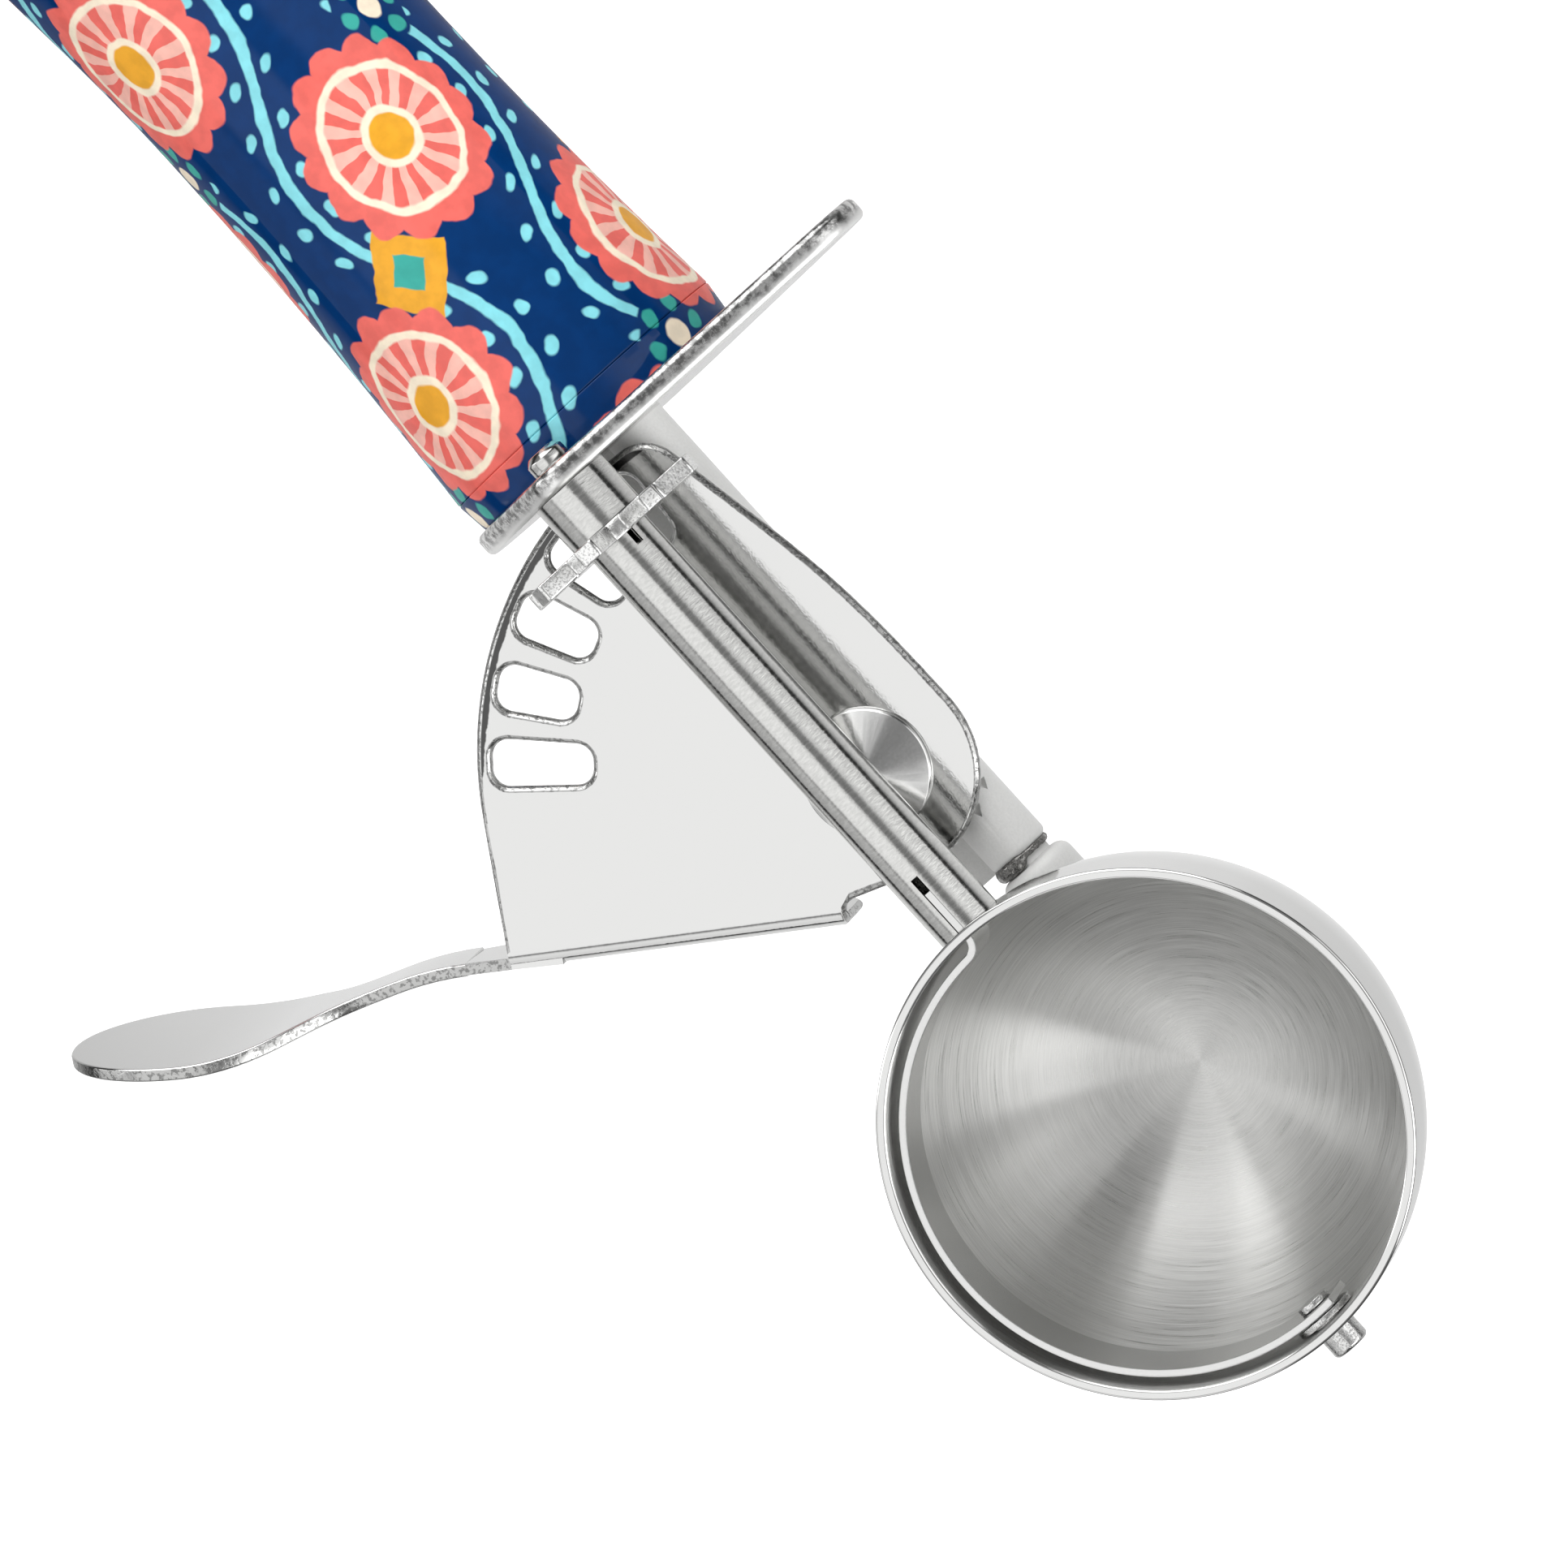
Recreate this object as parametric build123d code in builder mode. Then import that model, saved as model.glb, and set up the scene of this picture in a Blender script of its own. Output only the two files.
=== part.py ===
"""Cookie scoop: a hemispherical bowl on a shank and handle, with a hoop scraper that a thumb lever turns.

Frame: the origin is the centre of the bowl's mouth, +X runs along the shaft away from the handle, +Z points
out of the mouth, and the thumb lever lies on the -Y side. All sizes are in millimetres.
"""

import os
from math import cos, hypot, pi, radians, sin, sqrt

from build123d import *

# Bowl
BOWL_RADIUS = 20.0
BOWL_WALL = 0.8
RIM_ABOVE_SHAFT = 3.2
RIM_CHAMFER = 0.25

# Scraper hoop, its tang and its end pin
BLADE_OFF_WALL = 0.8
BLADE_THICK = 0.6
BLADE_WIDTH = 5.0
BLADE_BEND = 1.2
BLADE_OVERRUN = 1.9
TANG_LENGTH = 4.4
END_PIN_RADIUS = 1.5
END_PIN_STANDS_OUT = 1.8
TENON_RADIUS = 0.8
TENON_HEAD_RADIUS = 1.3
TENON_HEAD = 0.5
BLADE_WASHER_RADIUS = 2.4
BLADE_WASHER_THICK = 0.5

# Shaft tube with its slot and notch
TUBE_RADIUS = 2.6
TUBE_WALL = 0.5
SLOT_PAST_TANG = 1.4
NOTCH_LENGTH = 1.2
NOTCH_WIDTH = 0.6
NOTCH_TURN = 40.0
TUBE_END_INSET = 0.1

# Star-shaped pinion in mesh with the slotted sector
TEETH = 8
TOOTH_ADDENDUM = 1.2
TOOTH_DEDENDUM = 1.4
TOOTH_TIP_WIDTH = 1.7
TOOTH_ROOT_WIDTH = 2.9
TOOTH_ROUND = 0.3
PINION_THICK = 1.4
SLOT_COUNT = 5
SLOT_PITCH = 12.0
MESH_RADIUS = 25.5

# Thumb lever: pressed sheet with sector, folded flange, neck and pad
PIVOT_FROM_BOWL = 12.9
SHEET = 1.0
SECTOR_EDGE = 1.2
SECTOR_TOP = -9.5
SECTOR_CORNER = 3.2
SLOT_PAST_MESH = 3.0
SLOT_SHORT_OF_MESH = 3.2
LAST_SLOT_EXTRA = 1.5
SLOT_OUTER_WIDTH = 3.7
SLOT_INNER_WIDTH = 3.0
SLOT_ROUND = 1.3
LOBE_RADIUS = 8.4
LOBE_FOOT_ROUND = 1.5
EDGE_WAVE_RUN = 12.0
EDGE_WAVE_DROP = 0.5
EDGE_SLOPE = 0.16
FOLD_ANGLE = 57.0
FOLD_OFFSET = 11.4
FOLD_ROUND = 1.6
FLANGE_START = 3.6
FLANGE_DEPTH = 6.5
FLANGE_CORNER = 1.0
NECK_LENGTH = 6.5
NECK_WIDTH = 5.6
PAD_RISE_RUN = 15.3
PAD_RISE = 3.7
PAD_TIP_RISE = 2.7
PAD_LENGTH = 29.1
PAD_LEAF_RUN = 4.5
PAD_SHOULDER_RUN = 10.8
PAD_SHOULDER_WIDTH = 12.4
PAD_WIDEST_RUN = 19.8
PAD_WIDTH = 19.6
PAD_BEND = 25.0

# Pivot of the lever
RIVET_RADIUS = 2.0
RIVET_HEAD_RADIUS = 4.9
RIVET_HEAD = 2.1
RIVET_HEAD_EDGE = 0.5
RIVET_STUB_RADIUS = 0.6
RIVET_STUB = 0.5
RIVET_TAIL_RADIUS = 3.4
RIVET_TAIL = 1.0
BUSH_WALL = 0.8
SPACER_RADIUS = 3.2

# Shank: a web with one edge rolled into a bead
WEB_THICK = 1.2
WEB_EDGE_Y = -4.8
BEAD_RADIUS = 2.5
BEAD_Y = 3.4
BEAD_BELOW_SHEET = 0.4
BEAD_OFF_BOWL = 0.8
BEAD_END_ROUND = 0.6
STAKE_COUNT = 2
STAKE_RADIUS = 0.6
STAKE_DEPTH = 0.5
STAKE_FROM_END = 4.6
STAKE_STEP = 1.2
STAKE_TURN = 9.0
STAKE_TURN_STEP = 40.0
TANG_ROD_RADIUS = 2.1
TANG_ROD_LENGTH = 48.0

# Foot between shank and bowl
SADDLE_RADIUS = 3.1
SADDLE_ROUND = 1.0
SADDLE_OFF_BEAD = 1.0
SADDLE_NECK_RADIUS = 1.9
SADDLE_SPIGOT_RADIUS = 1.2
SADDLE_SPIGOT = 6.0

# Finger guard
GUARD_OFF_SECTOR = 0.6
GUARD_THICK = 1.8
GUARD_ROUND = 0.55
GUARD_SEAT_RADIUS = 13.1
GUARD_PIN_LOBE = 2.6
GUARD_TIP_Y = 22.0
GUARD_TIP_Z = -13.5
GUARD_TIP_RADIUS = 5.2

# Fixed shaft pin, sleeve, bearing and spring
PIN_RADIUS = 1.2
PIN_HEAD_RADIUS = 1.6
PIN_HEAD = 1.4
SLEEVE_RADIUS = 3.2
TUBE_BUSH_LENGTH = 3.0
SPRING_WIRE = 0.45
SPRING_TURNS = 3
SPRING_PITCH = 1.4
SPRING_BEND = 0.8
SPRING_BEND_TURN = 40.0
SPRING_LEG = 1.2
SPRING_OFF_SLEEVE = 1.0
SPRING_END_GAP = 0.3

# Handle
HANDLE_BESIDE_BEAD = 2.6
HANDLE_BELOW_BEAD = 4.2
HANDLE_BASE_RADIUS = 12.4
HANDLE_WAIST_RADIUS = 11.1
HANDLE_WAIST_FROM_GUARD = 36.0
HANDLE_BELLY_RADIUS = 12.9
HANDLE_BELLY_FROM_GUARD = 74.0
HANDLE_END_RADIUS = 11.4
GRIP_LENGTH = 94.0
COLLAR_LENGTH = 2.6
COLLAR_GUARD_RADIUS = 12.1
CORE_WALL = 0.9
CAP_LENGTH = 8.0
CAP_ROUND = 5.0
CAP_SPIGOT = 5.0
CAP_SPIGOT_RADIUS = 5.0

# Clearances
RUNNING = 0.06
SEATED = 0.02
SIDE_PLAY = 0.06

# Places worked out from the sizes above: bowl and scraper
SHAFT_Z = -RIM_ABOVE_SHAFT
BOWL_CENTRE = (0, 0, SHAFT_Z)
BOWL_INSIDE = BOWL_RADIUS - BOWL_WALL
BLADE_RADIUS = BOWL_INSIDE - BLADE_OFF_WALL - BLADE_THICK / 2
BEND_X = -sqrt((BLADE_RADIUS + BLADE_BEND) ** 2 - BLADE_BEND**2)
TANG_X = BEND_X - TANG_LENGTH
TUBE_END_X = BEND_X - TUBE_END_INSET
TUBE_BORE = TUBE_RADIUS - TUBE_WALL

# Mesh of sector and pinion
RATIO = 360.0 / TEETH / SLOT_PITCH
PITCH_RADIUS = MESH_RADIUS / RATIO
TOOTH_TIP_RADIUS = PITCH_RADIUS + TOOTH_ADDENDUM
TOOTH_ROOT_RADIUS = PITCH_RADIUS - TOOTH_DEDENDUM
SLOT_OUTER = MESH_RADIUS + SLOT_PAST_MESH
SLOT_INNER = MESH_RADIUS - SLOT_SHORT_OF_MESH
LAST_SLOT_INNER = SLOT_INNER - LAST_SLOT_EXTRA
SECTOR_RADIUS = SLOT_OUTER + SECTOR_EDGE
PIVOT_X = -BOWL_RADIUS - PIVOT_FROM_BOWL
PINION_X = PIVOT_X - MESH_RADIUS
PINION_BACK = PINION_X - PINION_THICK / 2
PINION_FRONT = PINION_X + PINION_THICK / 2

# Levels of lever sheet, shank and handle
SHEET_Z = SHAFT_Z - PITCH_RADIUS
SHEET_TOP = SHEET_Z + SHEET / 2
SHEET_BOTTOM = SHEET_Z - SHEET / 2
BEAD_Z = SHEET_BOTTOM - BEAD_BELOW_SHEET - BEAD_RADIUS
BEAD_END_X = -BOWL_RADIUS - BEAD_OFF_BOWL
WEB_BOTTOM = BEAD_Z - BEAD_RADIUS
WEB_TOP = WEB_BOTTOM + WEB_THICK
HANDLE_Y = BEAD_Y - HANDLE_BESIDE_BEAD
HANDLE_Z = BEAD_Z - HANDLE_BELOW_BEAD
CORE_RADIUS = hypot(HANDLE_BESIDE_BEAD, HANDLE_BELOW_BEAD) + TANG_ROD_RADIUS + CORE_WALL

# Stations along the shaft behind the pivot
GUARD_X = PIVOT_X - SECTOR_RADIUS - GUARD_OFF_SECTOR
GUARD_BACK = GUARD_X - GUARD_THICK
COLLAR_BACK = GUARD_BACK - COLLAR_LENGTH
GRIP_BACK = COLLAR_BACK - GRIP_LENGTH
SLEEVE_FRONT = PINION_BACK - SIDE_PLAY
COIL_X = PINION_FRONT + SPRING_OFF_SLEEVE
COIL_END_X = COIL_X + SPRING_TURNS * SPRING_PITCH
TUBE_BUSH_X = COIL_END_X + SPRING_BEND + SPRING_LEG + SPRING_END_GAP
PIN_END = TUBE_BUSH_X + TUBE_BUSH_LENGTH
SPRING_RADIUS = (PIN_RADIUS + TUBE_BORE) / 2

SHAFT_LINE = Axis(BOWL_CENTRE, (1, 0, 0))
HANDLE_LINE = Axis((0, HANDLE_Y, HANDLE_Z), (1, 0, 0))

os.makedirs("parts", exist_ok=True)


def across(x):
    """Plane square to the shaft at x, with local axes along the object's Y and Z."""
    return Plane(origin=(x, 0, 0), x_dir=(0, 1, 0), z_dir=(1, 0, 0))


def along(y, z):
    """Plane through a line parallel to the shaft: local x runs along it and local y outwards, along +Y."""
    return Plane(origin=(0, y, z), x_dir=(1, 0, 0), z_dir=(0, 0, 1))


def save(builder, name):
    builder.part.label = name
    export_step(builder.part, f"parts/{name}.step")


# Bowl: a hemisphere about the shaft line, with a straight band up to the rim
with BuildPart() as bowl:
    with BuildSketch(Plane.XZ):
        with BuildLine():
            Line((0, SHAFT_Z - BOWL_INSIDE), (0, SHAFT_Z - BOWL_RADIUS))
            CenterArc((0, SHAFT_Z), BOWL_RADIUS, -90, 90)
            Line((BOWL_RADIUS, SHAFT_Z), (BOWL_RADIUS, 0))
            Line((BOWL_RADIUS, 0), (BOWL_INSIDE, 0))
            Line((BOWL_INSIDE, 0), (BOWL_INSIDE, SHAFT_Z))
            CenterArc((0, SHAFT_Z), BOWL_INSIDE, -90, 90)
        make_face()
    revolve(axis=Axis.Z)
    chamfer(bowl.edges().group_by(Axis.Z)[-1], min(RIM_CHAMFER, 0.45 * BOWL_WALL))
    with BuildSketch(across(0)):
        with Locations((0, SHAFT_Z)):
            Circle(TUBE_RADIUS + RUNNING)
    extrude(amount=-2 * BOWL_RADIUS, mode=Mode.SUBTRACT)
    with BuildSketch(across(0)):
        with Locations((0, SHAFT_Z)):
            Circle(END_PIN_RADIUS + RUNNING)
    extrude(amount=2 * BOWL_RADIUS, mode=Mode.SUBTRACT)
save(bowl, "bowl")

# Scraper hoop: a strip that leaves the tube's slot, bends round and follows the wall to the far pin
with BuildPart() as scraper_blade:
    with BuildSketch(Plane.XY.offset(SHAFT_Z - BLADE_WIDTH / 2)):
        with BuildLine():
            bend_turn = 180 + BLADE_BEND / (BLADE_RADIUS + BLADE_BEND) * 180 / pi
            overrun_turn = BLADE_OVERRUN / BLADE_RADIUS * 180 / pi
            Line((TANG_X, 0), (BEND_X, 0))
            CenterArc((BEND_X, -BLADE_BEND), BLADE_BEND, 90, bend_turn - 270)
            CenterArc((0, 0), BLADE_RADIUS, bend_turn, 360 + overrun_turn - bend_turn)
        trace(line_width=BLADE_THICK)
    extrude(amount=BLADE_WIDTH)
    with BuildSketch(across(0)):
        with Locations((0, SHAFT_Z)):
            Circle(TENON_RADIUS + SEATED)
    extrude(amount=BOWL_RADIUS, mode=Mode.SUBTRACT)
save(scraper_blade, "scraper_blade")

# Washer between the hoop's end and the bowl's wall
WASHER_OUT_X = BOWL_INSIDE - SIDE_PLAY - BLADE_WASHER_RADIUS**2 / (2 * BOWL_INSIDE)
WASHER_IN_X = WASHER_OUT_X - BLADE_WASHER_THICK
BLADE_OUT_X = BLADE_RADIUS + BLADE_THICK / 2
with BuildPart() as blade_washer:
    with BuildSketch(across(WASHER_IN_X)):
        with Locations((0, SHAFT_Z)):
            Circle(BLADE_WASHER_RADIUS)
            Circle(END_PIN_RADIUS + SEATED, mode=Mode.SUBTRACT)
    extrude(amount=BLADE_WASHER_THICK)
save(blade_washer, "blade_washer")

# End pin: turns in the bowl's wall, its tenon is riveted over the hoop's end
with BuildPart() as blade_pin:
    with BuildSketch(along(0, SHAFT_Z)):
        with BuildLine():
            head_in_x = sqrt((BLADE_RADIUS - BLADE_THICK / 2) ** 2 - TENON_HEAD_RADIUS**2) - SEATED
            Polyline(
                (head_in_x - TENON_HEAD, 0),
                (head_in_x - TENON_HEAD, TENON_HEAD_RADIUS),
                (head_in_x, TENON_HEAD_RADIUS),
                (head_in_x, TENON_RADIUS),
                (BLADE_OUT_X + SEATED, TENON_RADIUS),
                (BLADE_OUT_X + SEATED, END_PIN_RADIUS),
                (BOWL_RADIUS + END_PIN_STANDS_OUT, END_PIN_RADIUS),
                (BOWL_RADIUS + END_PIN_STANDS_OUT, 0),
                close=True,
            )
        make_face()
    revolve(axis=SHAFT_LINE)
    chamfer(blade_pin.edges().group_by(Axis.X)[-1], 0.15 * END_PIN_RADIUS)
save(blade_pin, "blade_pin")

# Shaft tube: slotted for the tang at the bowl, notched at the pinion
with BuildPart() as shaft_tube:
    with BuildSketch(across(PINION_BACK)):
        with Locations((0, SHAFT_Z)):
            Circle(TUBE_RADIUS)
            Circle(TUBE_BORE, mode=Mode.SUBTRACT)
    extrude(amount=TUBE_END_X - PINION_BACK)
    slot_x = TANG_X - SLOT_PAST_TANG
    with BuildSketch(Plane.XY.offset(SHAFT_Z - 2 * TUBE_RADIUS)):
        with Locations(((slot_x + TUBE_END_X) / 2, 0)):
            Rectangle(TUBE_END_X - slot_x + SEATED, BLADE_THICK + 2 * SEATED)
    extrude(amount=4 * TUBE_RADIUS, mode=Mode.SUBTRACT)
    notch_plane = Plane(
        origin=(PINION_FRONT + NOTCH_LENGTH / 2, 0, SHAFT_Z),
        x_dir=(1, 0, 0),
        z_dir=(0, sin(radians(NOTCH_TURN)), cos(radians(NOTCH_TURN))),
    )
    with BuildSketch(notch_plane):
        Rectangle(NOTCH_LENGTH, NOTCH_WIDTH)
    extrude(amount=2 * TUBE_RADIUS, mode=Mode.SUBTRACT)
save(shaft_tube, "shaft_tube")

# Pinion: a flat star wheel pressed on the tube, one tooth pointing straight down into the sector
with BuildSketch() as tooth:
    with BuildLine():
        Polyline(
            (TUBE_RADIUS + TUBE_WALL, -TOOTH_ROOT_WIDTH / 2),
            (TOOTH_ROOT_RADIUS, -TOOTH_ROOT_WIDTH / 2),
            (TOOTH_TIP_RADIUS, -TOOTH_TIP_WIDTH / 2),
            (TOOTH_TIP_RADIUS, TOOTH_TIP_WIDTH / 2),
            (TOOTH_ROOT_RADIUS, TOOTH_ROOT_WIDTH / 2),
            (TUBE_RADIUS + TUBE_WALL, TOOTH_ROOT_WIDTH / 2),
            close=True,
        )
    make_face()
    fillet(tooth.vertices().group_by(Axis.X)[-1], TOOTH_ROUND)

with BuildPart() as pinion:
    with BuildSketch(across(PINION_BACK)):
        with Locations((0, SHAFT_Z)):
            Circle(TOOTH_ROOT_RADIUS)
            with PolarLocations(0, TEETH, start_angle=-90):
                add(tooth.sketch)
            Circle(TUBE_RADIUS + SEATED, mode=Mode.SUBTRACT)
    extrude(amount=PINION_THICK)
save(pinion, "pinion")

# Thumb lever: slotted sector, folded flange, neck and pad of one sheet, drawn about the pivot
FOLD_DIRECTION = Vector(-cos(radians(FOLD_ANGLE)), -sin(radians(FOLD_ANGLE)), 0)
OUTWARD = Vector(sin(radians(FOLD_ANGLE)), -cos(radians(FOLD_ANGLE)), 0)
BEND_RADIUS = FOLD_ROUND - SHEET / 2
BEND_START = FOLD_OFFSET - FOLD_ROUND
BEND_LAP = 1.0
FOLD_END = SECTOR_RADIUS
STRIP_OFFSET = FOLD_OFFSET - SHEET / 2
STRIP_LAP = 4.0
NECK_Z = SHEET_TOP - FLANGE_DEPTH / 2
NECK_END = FOLD_END + NECK_LENGTH


def sector_point(radius, turn):
    """Point of the sheet about the pivot: turn 0 faces the pinion and grows towards the fold."""
    return (-radius * cos(radians(turn)), -radius * sin(radians(turn)))


def fold_point(reach, offset):
    """Point of the sheet about the pivot: reach runs along the fold and offset away from the sector."""
    place = FOLD_DIRECTION * reach + OUTWARD * offset
    return (place.X, place.Y)


def slot_window(inner):
    """One slot of the sector, at turn 0: a tapered window with rounded corners."""
    with BuildSketch() as window:
        with BuildLine():
            Polyline(
                (-inner, SLOT_INNER_WIDTH / 2),
                (-SLOT_OUTER, SLOT_OUTER_WIDTH / 2),
                (-SLOT_OUTER, -SLOT_OUTER_WIDTH / 2),
                (-inner, -SLOT_INNER_WIDTH / 2),
                close=True,
            )
        make_face()
        fillet(window.vertices(), min(SLOT_ROUND, 0.45 * SLOT_INNER_WIDTH))
    return window.sketch


with BuildSketch() as lobe:
    Circle(LOBE_RADIUS)
    with Locations(fold_point(FLANGE_START + LOBE_FOOT_ROUND, BEND_START - LOBE_FOOT_ROUND)):
        Circle(LOBE_FOOT_ROUND)
    make_hull(lobe.edges())

SLOT_WINDOW = slot_window(SLOT_INNER)
LAST_WINDOW = slot_window(LAST_SLOT_INNER)

# The pad's blank: the strip's side view, cut to the leaf shape seen along OUTWARD
with BuildPart() as pad_strip:
    with BuildSketch(Plane((PIVOT_X, 0, NECK_Z - PAD_WIDTH / 2), x_dir=FOLD_DIRECTION, z_dir=(0, 0, 1))):
        with BuildLine():
            FilletPolyline(
                (FOLD_END - STRIP_LAP, STRIP_OFFSET),
                (NECK_END, STRIP_OFFSET),
                (NECK_END + PAD_RISE_RUN, STRIP_OFFSET + PAD_RISE),
                (NECK_END + PAD_LENGTH + SHEET, STRIP_OFFSET + PAD_TIP_RISE),
                radius=PAD_BEND,
            )
        trace(line_width=SHEET)
    extrude(amount=PAD_WIDTH)
    with BuildSketch(Plane((PIVOT_X, 0, NECK_Z), x_dir=FOLD_DIRECTION, z_dir=OUTWARD)):
        with BuildLine():
            Line((FOLD_END - STRIP_LAP, 0), (FOLD_END - STRIP_LAP, NECK_WIDTH / 2))
            Line((FOLD_END - STRIP_LAP, NECK_WIDTH / 2), (NECK_END + PAD_LEAF_RUN, NECK_WIDTH / 2))
            Spline(
                (NECK_END + PAD_LEAF_RUN, NECK_WIDTH / 2),
                (NECK_END + PAD_SHOULDER_RUN, PAD_SHOULDER_WIDTH / 2),
                (NECK_END + PAD_WIDEST_RUN, PAD_WIDTH / 2),
                tangents=[(1, 0), (1, 0)],
            )
            tip_run = PAD_LENGTH - PAD_WIDEST_RUN
            EllipticalCenterArc((NECK_END + PAD_WIDEST_RUN, 0), tip_run, PAD_WIDTH / 2, arc_size=90)
            mirror(about=Plane.XZ)
        make_face()
    extrude(amount=2 * FOLD_OFFSET, mode=Mode.INTERSECT)

with BuildPart() as thumb_lever:
    with BuildSketch(Plane((PIVOT_X, 0, SHEET_BOTTOM))) as sector:
        with BuildLine():
            top_corner = sector_point(SECTOR_RADIUS, SECTOR_TOP)
            CenterArc((0, 0), SECTOR_RADIUS, 180 + SECTOR_TOP, FOLD_ANGLE - SECTOR_TOP)
            Line(fold_point(SECTOR_RADIUS, 0), fold_point(FOLD_END, BEND_START))
            Line(fold_point(FOLD_END, BEND_START), fold_point(FLANGE_START, BEND_START))
            Line(fold_point(FLANGE_START, BEND_START), (0, LOBE_RADIUS))
            Spline(
                (0, LOBE_RADIUS),
                (-EDGE_WAVE_RUN, LOBE_RADIUS - EDGE_WAVE_DROP),
                top_corner,
                tangents=[(-1, 0), (-1, -EDGE_SLOPE)],
            )
        make_face()
        fillet(sector.vertices().sort_by_distance(top_corner)[0], SECTOR_CORNER)
        add(lobe.sketch)
        for slot in range(SLOT_COUNT):
            with Locations(Location((0, 0, 0), (0, 0, slot * SLOT_PITCH))):
                add(LAST_WINDOW if slot == SLOT_COUNT - 1 else SLOT_WINDOW, mode=Mode.SUBTRACT)
        Circle(RIVET_RADIUS + RUNNING + BUSH_WALL, mode=Mode.SUBTRACT)
    extrude(amount=SHEET)
    bend_origin = Vector(PIVOT_X, 0, 0) + FOLD_DIRECTION * FLANGE_START
    with BuildSketch(Plane(bend_origin, x_dir=OUTWARD, z_dir=FOLD_DIRECTION)):
        with BuildLine():
            Line((BEND_START - BEND_LAP, SHEET_Z), (BEND_START, SHEET_Z))
            CenterArc((BEND_START, SHEET_Z - BEND_RADIUS), BEND_RADIUS, 90, -90)
            Line((STRIP_OFFSET, SHEET_Z - BEND_RADIUS), (STRIP_OFFSET, SHEET_TOP - FLANGE_DEPTH))
        trace(line_width=SHEET)
    extrude(amount=FOLD_END - FLANGE_START)
    flange_corner = bend_origin + OUTWARD * STRIP_OFFSET + Vector(0, 0, SHEET_TOP - FLANGE_DEPTH)
    fillet(thumb_lever.edges().sort_by_distance(flange_corner)[0], FLANGE_CORNER)
    add(pad_strip.part)
save(thumb_lever, "thumb_lever")

# Bush in the lever's hole, which turns on the rivet
with BuildPart() as pivot_bush:
    with BuildSketch(Plane((PIVOT_X, 0, SHEET_BOTTOM))):
        Circle(RIVET_RADIUS + RUNNING + BUSH_WALL - SEATED)
        Circle(RIVET_RADIUS + RUNNING, mode=Mode.SUBTRACT)
    extrude(amount=SHEET)
save(pivot_bush, "pivot_bush")

# Spacer that holds the lever clear of the shank's web
with BuildPart() as pivot_spacer:
    with BuildSketch(Plane((PIVOT_X, 0, WEB_TOP))):
        Circle(SPACER_RADIUS)
        Circle(RIVET_RADIUS + SEATED, mode=Mode.SUBTRACT)
    extrude(amount=SHEET_BOTTOM - SIDE_PLAY - WEB_TOP)
save(pivot_spacer, "pivot_spacer")

# Rivet with a wide shallow cone for a head
with BuildPart() as pivot_rivet:
    with BuildSketch(Plane((PIVOT_X, 0, 0), x_dir=(1, 0, 0), z_dir=(0, -1, 0))):
        with BuildLine():
            head_z = SHEET_TOP + SIDE_PLAY
            cone_z = head_z + RIVET_HEAD
            tail_z = WEB_BOTTOM - SEATED
            Polyline(
                (RIVET_STUB_RADIUS, cone_z),
                (RIVET_STUB_RADIUS, cone_z + RIVET_STUB),
                (0, cone_z + RIVET_STUB),
                (0, tail_z - RIVET_TAIL),
                (RIVET_TAIL_RADIUS - RIVET_TAIL / 2, tail_z - RIVET_TAIL),
                (RIVET_TAIL_RADIUS, tail_z - RIVET_TAIL / 2),
                (RIVET_TAIL_RADIUS, tail_z),
                (RIVET_RADIUS, tail_z),
                (RIVET_RADIUS, head_z),
                (RIVET_HEAD_RADIUS, head_z),
                (RIVET_HEAD_RADIUS, head_z + RIVET_HEAD_EDGE),
                close=True,
            )
        make_face()
    revolve(axis=Axis((PIVOT_X, 0, 0), (0, 0, 1)))
save(pivot_rivet, "pivot_rivet")


def on_bead(from_end, turn):
    """Plane on the bead's skin, turn in degrees from +Z towards +Y."""
    outwards = Vector(0, sin(radians(turn)), cos(radians(turn)))
    place = Vector(BEAD_END_X - from_end, BEAD_Y, BEAD_Z) + outwards * BEAD_RADIUS
    return Plane(origin=place, x_dir=(1, 0, 0), z_dir=outwards)


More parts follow.
